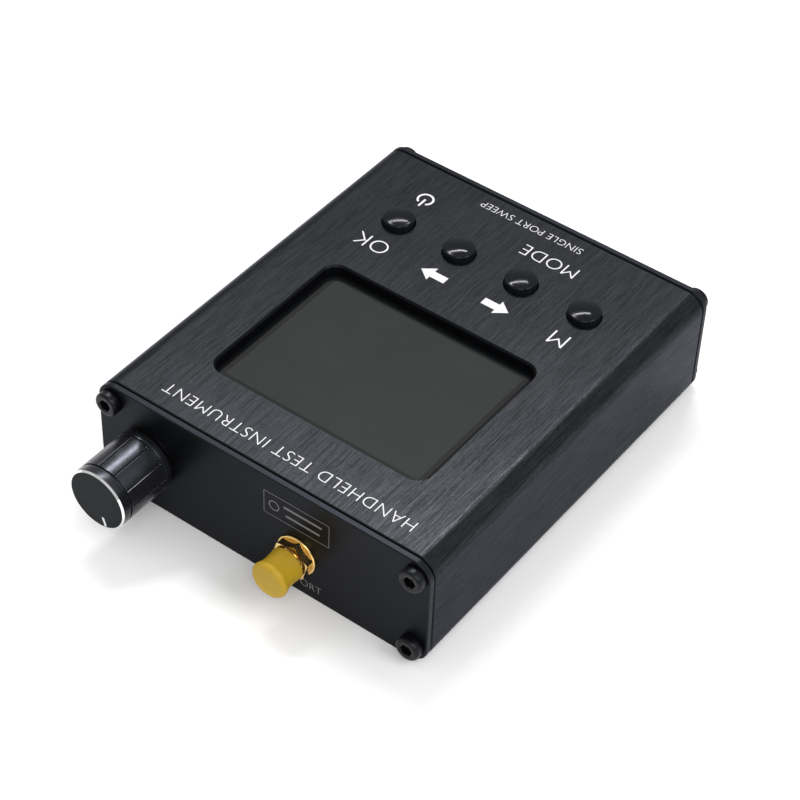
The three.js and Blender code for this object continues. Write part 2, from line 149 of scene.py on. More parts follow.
def grid(points: Array, wrap: bool = True, finish: int | Array = 0) -> Patch:
    """Joins rows of points into four-cornered faces, each row to the next.

    Args:
        points: Points by row and column, shape (rows, columns, 3).
        wrap: Whether each row closes on itself.
        finish: The finish's number, or one for each column's faces.

    Returns:
        The patch.
    """
    rows, columns = points.shape[:2]
    spans = columns if wrap else columns - 1
    row, column = np.meshgrid(np.arange(rows - 1), np.arange(spans), indexing="ij")
    after = (column + 1) % columns
    here, above = row * columns, (row + 1) * columns
    faces = np.stack([here + column, here + after, above + after, above + column], axis=-1).reshape(-1, 4)
    return Patch(points.reshape(-1, 3), faces, np.broadcast_to(finish, (rows - 1, spans)).ravel())


def filled(loops: Sequence[Array], place: Placer) -> Patch:
    """Fills a flat outline, less the holes in it, with triangles.

    Args:
        loops: The outline and then its holes, each an array of two columns.
        place: Carries the flat points to their place.

    Returns:
        The patch.
    """
    flat = np.concatenate(loops)
    raised = [np.column_stack([loop, np.zeros(len(loop))]).tolist() for loop in loops]
    return Patch(place(flat), np.array(tessellate_polygon(raised)))


def circle(radius: float, x: float, y: float, count: int = 64) -> Array:
    """Points round a circle: the middle plus the radius times cosine and sine of even angles."""
    angle = np.linspace(0, FULL_TURN, count, endpoint=False)
    return np.column_stack([x + radius * np.cos(angle), y + radius * np.sin(angle)])


def rounded_rectangle(width: float, height: float, radius: float, x: float = 0.0, y: float = 0.0,
                      steps: int = 12) -> Array:
    """Points round a rectangle with round corners: a quarter circle about each corner's own middle.

    Args:
        width: Length along the first axis.
        height: Length along the second axis.
        radius: The corners' radius.
        x: The middle along the first axis.
        y: The middle along the second axis.
        steps: Spans in each corner.

    Returns:
        The loop, anticlockwise, as two columns.
    """
    quarter = np.linspace(0, QUARTER_TURN, steps + 1)
    angle = (np.arange(4)[:, None] * math.pi / 2 + quarter).ravel()
    signs = np.repeat([[1, 1], [-1, 1], [-1, -1], [1, -1]], steps + 1, axis=0)
    middle = signs * [width / 2 - radius, height / 2 - radius]
    return middle + radius * np.column_stack([np.cos(angle), np.sin(angle)]) + [x, y]


def rounded_path(corners: Sequence[tuple[float, float]], radii: Sequence[float], steps: int = 6) -> Array:
    """Runs a line through corners and rounds each inner one with an arc tangent to both its sides.

    The arc's spokes are mixed from its first and its last: the first times sin((1 - t) w) plus the last
    times sin(t w), over sin w, where w is the angle between them.

    Args:
        corners: The line's corners.
        radii: One radius for each corner, 0 where it stays sharp.
        steps: Spans in each arc.

    Returns:
        The line's points as two columns.
    """
    path = np.array(corners, dtype=float)
    share = np.linspace(0, 1, steps + 1)[:, None]
    pieces = [path[:1]]
    for index in range(1, len(path) - 1):
        back, ahead = path[index - 1] - path[index], path[index + 1] - path[index]
        back, ahead = back / np.linalg.norm(back), ahead / np.linalg.norm(ahead)
        half = math.acos(float(np.clip(back @ ahead, -1, 1))) / 2
        if radii[index] <= 0 or half > QUARTER_TURN - STRAIGHT:
            pieces.append(path[index:index + 1])
            continue
        middle = path[index] + (back + ahead) / np.linalg.norm(back + ahead) * radii[index] / math.sin(half)
        reach = radii[index] / math.tan(half)
        first, last = path[index] + back * reach - middle, path[index] + ahead * reach - middle
        sweep = math.pi - 2 * half
        mixed = first * np.sin((1 - share) * sweep) + last * np.sin(share * sweep)
        pieces.append(middle + mixed / math.sin(sweep))
    return np.concatenate(pieces + [path[-1:]])


def turned(radius: Array, station: Array, centre: Array, axis: Axis, segments: int | Array = 96,
           finish: int | Array = 0) -> Patch:
    """A surface of revolution, whose radius may also change round the axis.

    Across is the radius times the cosine of the angle and up is the radius times its sine.

    Args:
        radius: Radii by row, or by row and column.
        station: Places along the axis by row, or by row and column.
        centre: A point on the axis.
        axis: The axis's direction.
        segments: How many columns go evenly round the axis, or the columns' angles.
        finish: The finish's number, or one for each column's faces.

    Returns:
        The patch, its rows in the order given.
    """
    radius = radius[:, None] if radius.ndim == 1 else radius
    station = station[:, None] if station.ndim == 1 else station
    columns = max(radius.shape[1], station.shape[1])
    if isinstance(segments, int):
        segments = np.linspace(0, FULL_TURN, segments if columns == 1 else columns, endpoint=False)
    angle = segments[None, :]
    across, up = radius * np.cos(angle), radius * np.sin(angle)
    along = station + 0 * across
    if axis is Axis.ALONG_Y:
        return grid(np.stack([centre[0] + across, along, centre[2] + up], axis=-1), finish=finish)
    return grid(np.stack([centre[0] + across, centre[1] + up, along], axis=-1), finish=finish)


def lathe(profile: Array, centre: Array, axis: Axis, segments: int | Array = 96, finish: int = 0) -> Patch:
    """Turns a profile of radius and station round an axis."""
    return turned(profile[:, 0], profile[:, 1], centre, axis, segments, finish)


def hexagon(angle: Array, flats: float) -> Array:
    """The radius of a hexagon at an angle: half the flats' distance over the cosine from the nearest flat."""
    sixth = math.pi / 3
    return flats / 2 / np.cos((angle % sixth) - sixth / 2)


def slab(loops: Sequence[Array], low: float, high: float, place: Placer, bevel: float = 0.0) -> list[Patch]:
    """A flat plate with straight walls between two heights, holes and all.

    Args:
        loops: The outline and then its holes.
        low: The lower height over the place.
        high: The upper height over the place.
        place: Carries the flat points to their place.
        bevel: How far the top outline draws in over the same drop.

    Returns:
        The plate's patches, which close it.
    """
    def at(loop: Array, height: float) -> Array:
        """The outline at a height over the place."""
        return place(np.column_stack([loop, np.full(len(loop), height)]))

    middle = loops[0].mean(axis=0)
    reach = np.abs(loops[0] - middle).max(axis=0)
    drawn = [middle + (loops[0] - middle) * (1 - bevel / reach), *loops[1:]] if bevel else loops
    patches = [filled(loops, lambda flat: at(flat, low)), filled(drawn, lambda flat: at(flat, high))]
    for index, loop in enumerate(loops):
        rows = [at(loop, low), at(loop, high - bevel if index == 0 else high)]
        rows += [at(drawn[0], high)] if bevel and index == 0 else []
        patches.append(grid(np.stack(rows)))
    return patches


def lettering(text: str, cap_height: float, thickness: float, place: Placer, weight: float = -0.018,
              spacing: float = 1.0) -> Patch:
    """Printed letters as thin closed solids.

    Args:
        text: The words, in capitals.
        cap_height: The letters' height.
        thickness: The ink's thickness.
        place: Carries the letters to their place.
        weight: How much the strokes swell, as a share of the letter size.
        spacing: The letters' spacing, 1 for the font's own.

    Returns:
        The letters' patch.
    """
    curve = bpy.data.curves.new("lettering", "FONT")
    curve.body = text
    curve.align_x = "CENTER"
    curve.resolution_u = 5
    curve.offset = weight
    curve.space_character = spacing
    curve.extrude = 0.5
    holder = bpy.data.objects.new("lettering", curve)
    bpy.context.scene.collection.objects.link(holder)
    bpy.context.view_layer.update()
    mesh = bpy.data.meshes.new_from_object(holder.evaluated_get(bpy.context.evaluated_depsgraph_get()))
    points = np.empty(len(mesh.vertices) * 3)
    mesh.vertices.foreach_get("co", points)
    mesh.calc_loop_triangles()
    faces = np.empty(len(mesh.loop_triangles) * 3, dtype=int)
    mesh.loop_triangles.foreach_get("vertices", faces)
    bpy.data.objects.remove(holder)
    bpy.data.curves.remove(curve)
    bpy.data.meshes.remove(mesh)
    points = points.reshape(-1, 3)
    low, high = points.min(axis=0), points.max(axis=0)
    scale = cap_height / (high[1] - low[1])
    flat = (points[:, :2] - (low[:2] + high[:2]) / 2) * scale
    height = (points[:, 2] - low[2]) / (high[2] - low[2]) * thickness
    return Patch(place(np.column_stack([flat, height])), faces.reshape(-1, 3))


def solid(name: str, patches: Sequence[Patch], finishes: Sequence[bpy.types.Material],
          sharp: float = 30.0) -> bpy.types.Object:
    """Joins patches into one mesh at its place, closes its seams and turns its faces outwards.

    Args:
        name: The piece's name.
        patches: Its surfaces, in millimetres.
        finishes: Its materials, in the order of the patches' finish numbers.
        sharp: Edges that bend more than this many degrees stay crisp.

    Returns:
        The piece.
    """
    starts = np.cumsum([0] + [len(patch.points) for patch in patches[:-1]])
    faces = [face for start, patch in zip(starts, patches) for face in (patch.faces + start).tolist()]
    numbers = np.concatenate([np.broadcast_to(patch.finish, len(patch.faces)) for patch in patches])
    mesh = bpy.data.meshes.new(name)
    mesh.from_pydata((np.concatenate([patch.points for patch in patches]) * MM).tolist(), [], faces)
    mesh.polygons.foreach_set("material_index", numbers.astype(np.int32))
    for finish in finishes:
        mesh.materials.append(finish)
    work = bmesh.new()
    work.from_mesh(mesh)
    bmesh.ops.remove_doubles(work, verts=work.verts, dist=MERGE)
    bmesh.ops.dissolve_degenerate(work, edges=work.edges, dist=MERGE / 4)
    bmesh.ops.recalc_face_normals(work, faces=work.faces)
    open_edges = sum(not edge.is_manifold for edge in work.edges)
    work.to_mesh(mesh)
    work.free()
    mesh.shade_smooth()
    mesh.set_sharp_from_angle(angle=math.radians(sharp))
    piece = bpy.data.objects.new(name, mesh)
    bpy.context.scene.collection.objects.link(piece)
    LOG.info("%-24s %6d faces, %d open edges", name, len(mesh.polygons), open_edges)
    return piece


def settle(piece: bpy.types.Object, body: str, replaced: Sequence[str] = ()) -> bpy.types.Object:
    """Gives a finished piece its body and hides the CAD nodes that it stands for.

    Args:
        piece: The piece.
        body: The body that it rides on.
        replaced: The CAD nodes that it stands for, if any.

    Returns:
        The same piece.
    """
    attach(piece, body)
    if replaced:
        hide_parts(*replaced)
    return piece


# ------------------------------------------------------------------ shader maths


class Reading:
    """A number on a shader socket, which Python's arithmetic extends with Math nodes."""

    def __init__(self, shader: "Shader", socket: bpy.types.NodeSocket) -> None:
        """Keeps the shader it belongs to and the socket it leaves by."""
        self.shader = shader
        self.socket = socket

    def _math(self, operation: str, *values: "Reading | float") -> "Reading":
        """Adds a Math node on the values in order."""
        node = self.shader.node("ShaderNodeMath", {"operation": operation}, dict(enumerate(values)))
        return Reading(self.shader, node.outputs[0])

    def __add__(self, other: "Reading | float") -> "Reading":
        """This plus the other."""
        return self._math("ADD", self, other)

    __radd__ = __add__

    def __sub__(self, other: "Reading | float") -> "Reading":
        """This less the other."""
        return self._math("SUBTRACT", self, other)

    def __rsub__(self, other: float) -> "Reading":
        """The other less this."""
        return self._math("SUBTRACT", other, self)

    def __mul__(self, other: "Reading | float") -> "Reading":
        """This times the other."""
        return self._math("MULTIPLY", self, other)

    __rmul__ = __mul__

    def apply(self, operation: str, *others: "Reading | float") -> "Reading":
        """Any other Math operation on this and the others."""
        return self._math(operation, self, *others)

    def spread(self, low: float, high: float, to_low: float = 0.0, to_high: float = 1.0) -> "Reading":
        """Maps a range of this onto another one, smoothly and held at its ends."""
        node = self.shader.node("ShaderNodeMapRange", {"interpolation_type": "SMOOTHSTEP"},
                                {0: self, 1: low, 2: high, 3: to_low, 4: to_high})
        return Reading(self.shader, node.outputs[0])


Colour = tuple[float, float, float]
Socket = bpy.types.NodeSocket


def scaled(tone: Colour, share: float) -> Colour:
    """A tone times a share, held at white."""
    return tuple(min(1.0, value * share) for value in tone)


class Shader:
    """One material's node tree, written as expressions."""

    def __init__(self, name: str) -> None:
        """Starts an empty tree for a new material.

        Args:
            name: The material's name.
        """
        self.material = bpy.data.materials.new(name)
        self.material.use_nodes = True
        self.tree = self.material.node_tree
        self.tree.nodes.clear()

    def node(self, kind: str, settings: dict | None = None, inputs: dict | None = None) -> bpy.types.Node:
        """Adds one node.

        Args:
            kind: The node's type.
            settings: Its own settings, set first.
            inputs: Values or readings for its sockets, by name or number.

        Returns:
            The node.
        """
        node = self.tree.nodes.new(kind)
        for name, value in (settings or {}).items():
            setattr(node, name, value)
        for key, value in (inputs or {}).items():
            socket = value.socket if isinstance(value, Reading) else value
            if isinstance(socket, Socket):
                self.tree.links.new(socket, node.inputs[key])
            else:
                node.inputs[key].default_value = value
        return node

    def place(self, scale: Sequence[float] = (1, 1, 1), offset: Sequence[float] = (0, 0, 0)) -> Socket:
        """Object coordinates in metres, moved and then stretched.

        Args:
            scale: The stretch along X, Y and Z.
            offset: The place that becomes the middle.

        Returns:
            The coordinates' socket.
        """
        spot = self.node("ShaderNodeTexCoord").outputs["Object"]
        for operation, vector in (("SUBTRACT", offset), ("MULTIPLY", scale)):
            spot = self.node("ShaderNodeVectorMath", {"operation": operation},
                             {0: spot, 1: tuple(vector)}).outputs[0]
        return spot

    def parts(self, vector: Socket) -> list[Reading]:
        """A vector's three numbers."""
        node = self.node("ShaderNodeSeparateXYZ", None, {0: vector})
        return [Reading(self, output) for output in node.outputs]

    def noise(self, vector: Socket, scale: float = 1.0, detail: float = 3.0) -> Reading:
        """Cloudy noise around one half."""
        node = self.node("ShaderNodeTexNoise", None, {"Vector": vector, "Scale": scale, "Detail": detail})
        return Reading(self, node.outputs[0])

    def blend(self, share: Reading | float, first: Colour | Socket, second: Colour | Socket) -> Socket:
        """A colour mixed from two by a share."""
        first, second = [(*tone, 1.0) if isinstance(tone, tuple) else tone for tone in (first, second)]
        return self.node("ShaderNodeMix", {"data_type": "RGBA"}, {0: share, 6: first, 7: second}).outputs[2]

    def bump(self, height: Reading, strength: float, depth: float) -> Socket:
        """A surface roughened by a height, whose full range is the depth in metres."""
        return self.node("ShaderNodeBump", None,
                         {"Height": height, "Strength": strength, "Distance": depth}).outputs[0]

    def finish(self, **sockets: object) -> bpy.types.Material:
        """Ends the tree with a principled surface.

        Args:
            **sockets: Its sockets' values or readings, with _ for each space in their names.

        Returns:
            The finished material.
        """
        surface = self.node("ShaderNodeBsdfPrincipled", None,
                            {name.replace("_", " "): (*value, 1.0) if isinstance(value, tuple) else value
                             for name, value in sockets.items()})
        self.node("ShaderNodeOutputMaterial", None, {0: surface.outputs[0]})
        return self.material


# ------------------------------------------------------------------ finishes


@dataclass(frozen=True)
class BrushedAnodise:
    """Black anodised aluminium with a fine brushed grain along the case."""

    name: str
    tone: Colour = (0.0118, 0.0125, 0.0146)
    streak_tone: Colour = (0.041, 0.0428, 0.048)
    roughness: float = 0.32
    streak: float = 0.8
    gloss: float = 0.3
    edge_tint: Colour = (0.57, 0.58, 0.62)
    depth: float = 4.5e-6
    long_grain: tuple[float, float, float] = (7600, 120, 7600)
    short_grain: tuple[float, float, float] = (5200, 1100, 5200)
    short_share: float = 0.28

    def material(self) -> bpy.types.Material:
        """Long and short streaks in tone, roughness and height, and a faint cloud in tone.

        Returns:
            The finished material.
        """
        shader = Shader(self.name)
        fine = shader.noise(shader.place(self.long_grain), detail=2)
        short = shader.noise(shader.place(self.short_grain), detail=2)
        cloud = shader.noise(shader.place((40, 30, 40)), detail=3)
        grain = fine * (1 - self.short_share) + short * self.short_share
        share = grain.spread(0.41, 0.62) * self.streak + cloud.spread(0.35, 0.7) * 0.1
        return shader.finish(
            Base_Color=shader.blend(share, self.tone, self.streak_tone),
            Metallic=0.85,
            Roughness=grain.spread(0.3, 0.7, self.roughness + 0.07, self.roughness - 0.06),
            Specular_IOR_Level=self.gloss,
            Specular_Tint=self.edge_tint,
            Normal=shader.bump(grain, 0.7, self.depth))


@dataclass(frozen=True)
class SatinAnodise:
    """Black anodised plate with a fine blasted tooth."""

    name: str
    tone: Colour = (0.006, 0.0067, 0.0083)
    roughness: float = 0.4
    metallic: float = 0.75
    gloss: float = 0.2
    edge_tint: Colour = (0.8, 0.81, 0.85)
    tooth: float = 9000.0

    def material(self) -> bpy.types.Material:
        """A small tooth in the height, and a slight cloud in tone and roughness.

        Returns:
            The finished material.
        """
        shader = Shader(self.name)
        tooth = shader.noise(shader.place(), scale=self.tooth, detail=2)
        cloud = shader.noise(shader.place(), scale=60, detail=4)
        return shader.finish(
            Base_Color=shader.blend(cloud.spread(0.3, 0.75), self.tone, scaled(self.tone, 1.35)),
            Metallic=self.metallic,
            Roughness=cloud.spread(0.3, 0.7, self.roughness - 0.04, self.roughness + 0.05),
            Specular_IOR_Level=self.gloss,
            Specular_Tint=self.edge_tint,
            Normal=shader.bump(tooth, 0.35, 8e-6))


@dataclass(frozen=True)
class Turned:
    """A turned metal surface with fine tool rings about an axis along Y."""

    name: str
    tone: Colour
    centre: tuple[float, float]
    metallic: float = 1.0
    roughness: float = 0.3
    ring: float = 9000.0
    depth: float = 6e-6
    strength: float = 0.5
    gloss: float = 0.5
    edge_tint: Colour = (1, 1, 1)

    def material(self) -> bpy.types.Material:
        """Rings from noise on the distance to the axis and on the station along it.

        Returns:
            The finished material.
        """
        shader = Shader(self.name)
        x, y, z = shader.parts(shader.place(offset=(self.centre[0] * MM, 0, self.centre[1] * MM)))
        distance = (x * x + z * z).apply("SQRT")
        spot = shader.node("ShaderNodeCombineXYZ", None, {0: distance, 1: y, 2: 0.0}).outputs[0]
        rings = shader.noise(spot, scale=self.ring, detail=1)
        cloud = shader.noise(shader.place(), scale=300, detail=3)
        return shader.finish(
            Base_Color=shader.blend(rings.spread(0.3, 0.7) * 0.5 + cloud * 0.3, self.tone,
                                    scaled(self.tone, 1.3)),
            Metallic=self.metallic,
            Roughness=cloud.spread(0.3, 0.7, self.roughness - 0.04, self.roughness + 0.06),
            Specular_IOR_Level=self.gloss,
            Specular_Tint=self.edge_tint,
            Normal=shader.bump(rings, self.strength, self.depth))


@dataclass(frozen=True)
class PlatedMetal:
    """Polished or plated metal with faint wear and handling marks."""

    name: str
    tone: Colour
    roughness: float = 0.2
    dull: float = 0.75
    metallic: float = 1.0

    def material(self) -> bpy.types.Material:
        """Soft clouds dull the tone and the gloss.

        Returns:
            The finished material.
        """
        shader = Shader(self.name)
        cloud = shader.noise(shader.place(), scale=420, detail=4)
        fleck = shader.noise(shader.place(), scale=2600, detail=2)
        wear = cloud.spread(0.4, 0.75)
        return shader.finish(
            Base_Color=shader.blend(wear * 0.6, self.tone, scaled(self.tone, self.dull)),
            Metallic=self.metallic,
            Roughness=self.roughness + wear * 0.12 + fleck * 0.05,
            Normal=shader.bump(fleck, 0.12, 1e-5))


@dataclass(frozen=True)
class Moulded:
    """Moulded plastic: a fine skin texture and a slight change of gloss."""

    name: str
    tone: Colour
    roughness: float = 0.4
    texture: float = 2500.0
    depth: float = 1e-5
    coat: float = 0.0
    bleed: float = 0.0
    gloss: float = 0.5

    def material(self) -> bpy.types.Material:
        """Skin texture in the height and a cloud in the gloss and the tone.

        Returns:
            The finished material.
        """
        shader = Shader(self.name)
        skin = shader.noise(shader.place(), scale=self.texture, detail=2)
        cloud = shader.noise(shader.place(), scale=200, detail=3)
        return shader.finish(
            Base_Color=shader.blend(cloud.spread(0.3, 0.7), self.tone, scaled(self.tone, 0.86)),
            Roughness=cloud.spread(0.3, 0.7, self.roughness - 0.03, self.roughness + 0.05),
            Specular_IOR_Level=self.gloss,
            Coat_Weight=self.coat,
            Coat_Roughness=0.06,
            Subsurface_Weight=self.bleed,
            Subsurface_Scale=0.0015,
            Normal=shader.bump(skin, 0.3, self.depth))


@dataclass(frozen=True)
class DisplayFace:
    """The unlit display: a grey active area inside a black border, under a smooth film."""

    name: str
    centre: tuple[float, float]
    active: tuple[float, float] = (48.96, 36.72)
    softness: float = 0.12
    border: Colour = (0.003, 0.0035, 0.004)
    field: Colour = (0.015, 0.0165, 0.0165)

    def material(self) -> bpy.types.Material:
        """The active area is where both distances from the middle are less than half its sides.

        Returns:
            The finished material.
        """
        shader = Shader(self.name)
        x, y, _ = shader.parts(shader.place((1 / MM,) * 3, (self.centre[0] * MM, self.centre[1] * MM, 0)))
        past_x, past_y = x.apply("ABSOLUTE") - self.active[0] / 2, y.apply("ABSOLUTE") - self.active[1] / 2
        inside = 1 - past_x.apply("MAXIMUM", past_y).spread(-self.softness, self.softness)
        smear = shader.noise(shader.place((60, 90, 60)), detail=4)
        field = shader.blend(smear.spread(0.35, 0.7) * 0.5, self.field, scaled(self.field, 1.1))
        return shader.finish(
            Base_Color=shader.blend(inside, self.border, field),
            Roughness=smear.spread(0.3, 0.75, 0.14, 0.155),
            Specular_IOR_Level=0.32,
            Coat_Weight=0.15,
            Coat_Roughness=0.08)


@dataclass(frozen=True)
class Ink:
    """Screen-printed ink, with a slightly uneven film."""

    name: str
    tone: Colour = (0.66, 0.66, 0.68)

    def material(self) -> bpy.types.Material:
        """Small specks thin the tone.

        Returns:
            The finished material.
        """
        shader = Shader(self.name)
        speck = shader.noise(shader.place(), scale=5200, detail=2)
        return shader.finish(
            Base_Color=shader.blend(speck.spread(0.52, 0.75) * 0.35, self.tone, scaled(self.tone, 0.6)),
            Roughness=speck.spread(0.3, 0.7, 0.45, 0.6),
            Normal=shader.bump(speck, 0.15, 4e-6))


@dataclass(frozen=True)
class CircuitBoard:
    """Green solder mask over copper tracks and plated pads."""

    name: str
    mask: Colour = (0.012, 0.09, 0.032)
    track: Colour = (0.03, 0.19, 0.07)
    pad: Colour = (0.75, 0.62, 0.35)

    def material(self) -> bpy.types.Material:
        """Tracks follow the edges of square cells, and pads sit at sparse dots.

        Returns:
            The finished material.
        """
        shader = Shader(self.name)
        cells = shader.node("ShaderNodeTexBrick", {"offset": 0.5}, {
            "Vector": shader.place((1, 1, 1)), "Scale": 420.0, "Mortar Size": 0.04,
            "Color1": (0, 0, 0, 1), "Color2": (0, 0, 0, 1), "Mortar": (1, 1, 1, 1)})
        lines = Reading(shader, cells.outputs["Fac"])
        dots = shader.node("ShaderNodeTexVoronoi", None, {"Vector": shader.place(), "Scale": 380.0})
        pads = 1 - Reading(shader, dots.outputs["Distance"]).spread(0.14, 0.17)
        base = shader.blend(lines * 0.8, self.mask, self.track)
        return shader.finish(
            Base_Color=shader.blend(pads, base, self.pad),
            Metallic=pads * 0.9,
            Roughness=pads.spread(0, 1, 0.28, 0.35),
            Normal=shader.bump(lines, 0.4, 3e-5))


@dataclass(frozen=True)
class StudioFloor:
    """A plain pale floor."""

    name: str = "pale_floor"
    tone: Colour = (0.93, 0.93, 0.93)
    pale_tone: Colour = (0.95, 0.95, 0.95)

    def material(self) -> bpy.types.Material:
        """A flat pale tone with a faint cloud.

        Returns:
            The finished material.
        """
        shader = Shader(self.name)
        cloud = shader.noise(shader.place(), scale=3, detail=2)
        return shader.finish(
            Base_Color=shader.blend(cloud, self.tone, self.pale_tone),
            Roughness=0.85,
            Specular_IOR_Level=0.1)


class Finishes:
    """Every material of the instrument, made once."""

    def __init__(self) -> None:
        """Makes the materials, with turned rings about the port's and the knob's axes."""
        port, knob = Extent.of("port_nut").centre, Extent.of("knob_body").centre
        barrel, spun = (port[0], port[2]), (knob[0], knob[2])
        window = Extent.of("display_glass").centre
        self.case = BrushedAnodise("anodised_case").material()
        self.panel = SatinAnodise("anodised_panel").material()
        # The panels' rim and bevel get a lighter copy of the panel finish: a painted highlight along the
        # edge.
        self.panel_rim_painted_highlight = SatinAnodise("panel_rim_painted_highlight", (0.016, 0.0175, 0.021), 0.4, 0.85).material()
        self.screw = PlatedMetal("black_oxide", (0.013, 0.0138, 0.0165), 0.3, 0.6, 0.8).material()
        self.key = Moulded("gloss_key", (0.006, 0.0068, 0.0088), 0.12, 4000, 6e-6, gloss=0.14).material()
        self.display = DisplayFace("display_face", (window[0], window[1])).material()
        self.tin = PlatedMetal("tin_plate", (0.62, 0.63, 0.62), 0.26).material()
        self.gold = PlatedMetal("gold_plate", (0.8, 0.56, 0.22), 0.14, 0.7).material()
        self.turned_gold = Turned("turned_gold", (0.79, 0.55, 0.21), barrel, roughness=0.18).material()
        self.brass = PlatedMetal("spacer_brass", (0.7, 0.52, 0.22), 0.24).material()
        self.cap = Moulded("yellow_vinyl", (0.44, 0.28, 0.0135), 0.5, 1400, 1.2e-5,
                           bleed=0.12, gloss=0.3).material()
        self.knob = Turned("knob_black", (0.032, 0.034, 0.041), spun, 0.8, 0.26, depth=1e-5).material()
        self.knob_face = Turned("knob_face", (0.004, 0.0045, 0.005), spun, 0.8, 0.3, depth=1.4e-5,
                                strength=0.6, gloss=0.1, edge_tint=(0.78, 0.8, 0.82)).material()
        self.bright = Turned("bright_cut", (0.8, 0.81, 0.82), spun, 1.0, 0.12, depth=2e-6).material()
        # The knob's slot edges get a much lighter, glossier metal: partly a worn edge, partly a painted glint
        # along each slot.
        self.slot_edge = PlatedMetal("worn_and_glinting_edge", (0.3, 0.3, 0.32), 0.2, 0.5).material()
        self.ink = Ink("white_ink").material()
        self.faint_ink = Ink("grey_ink", (0.12, 0.12, 0.125)).material()
        self.dim_ink = Ink("dim_ink", (0.3, 0.3, 0.31)).material()
        self.black = Moulded("black_moulding", (0.018, 0.018, 0.019), 0.5).material()
        self.insulator = Moulded("white_fluoropolymer", (0.8, 0.79, 0.75), 0.42, bleed=0.1).material()
        self.board = CircuitBoard("solder_mask").material()
        self.foil = PlatedMetal("battery_foil", (0.45, 0.48, 0.52), 0.38, 0.85, 0.9).material()


# ------------------------------------------------------------------ case


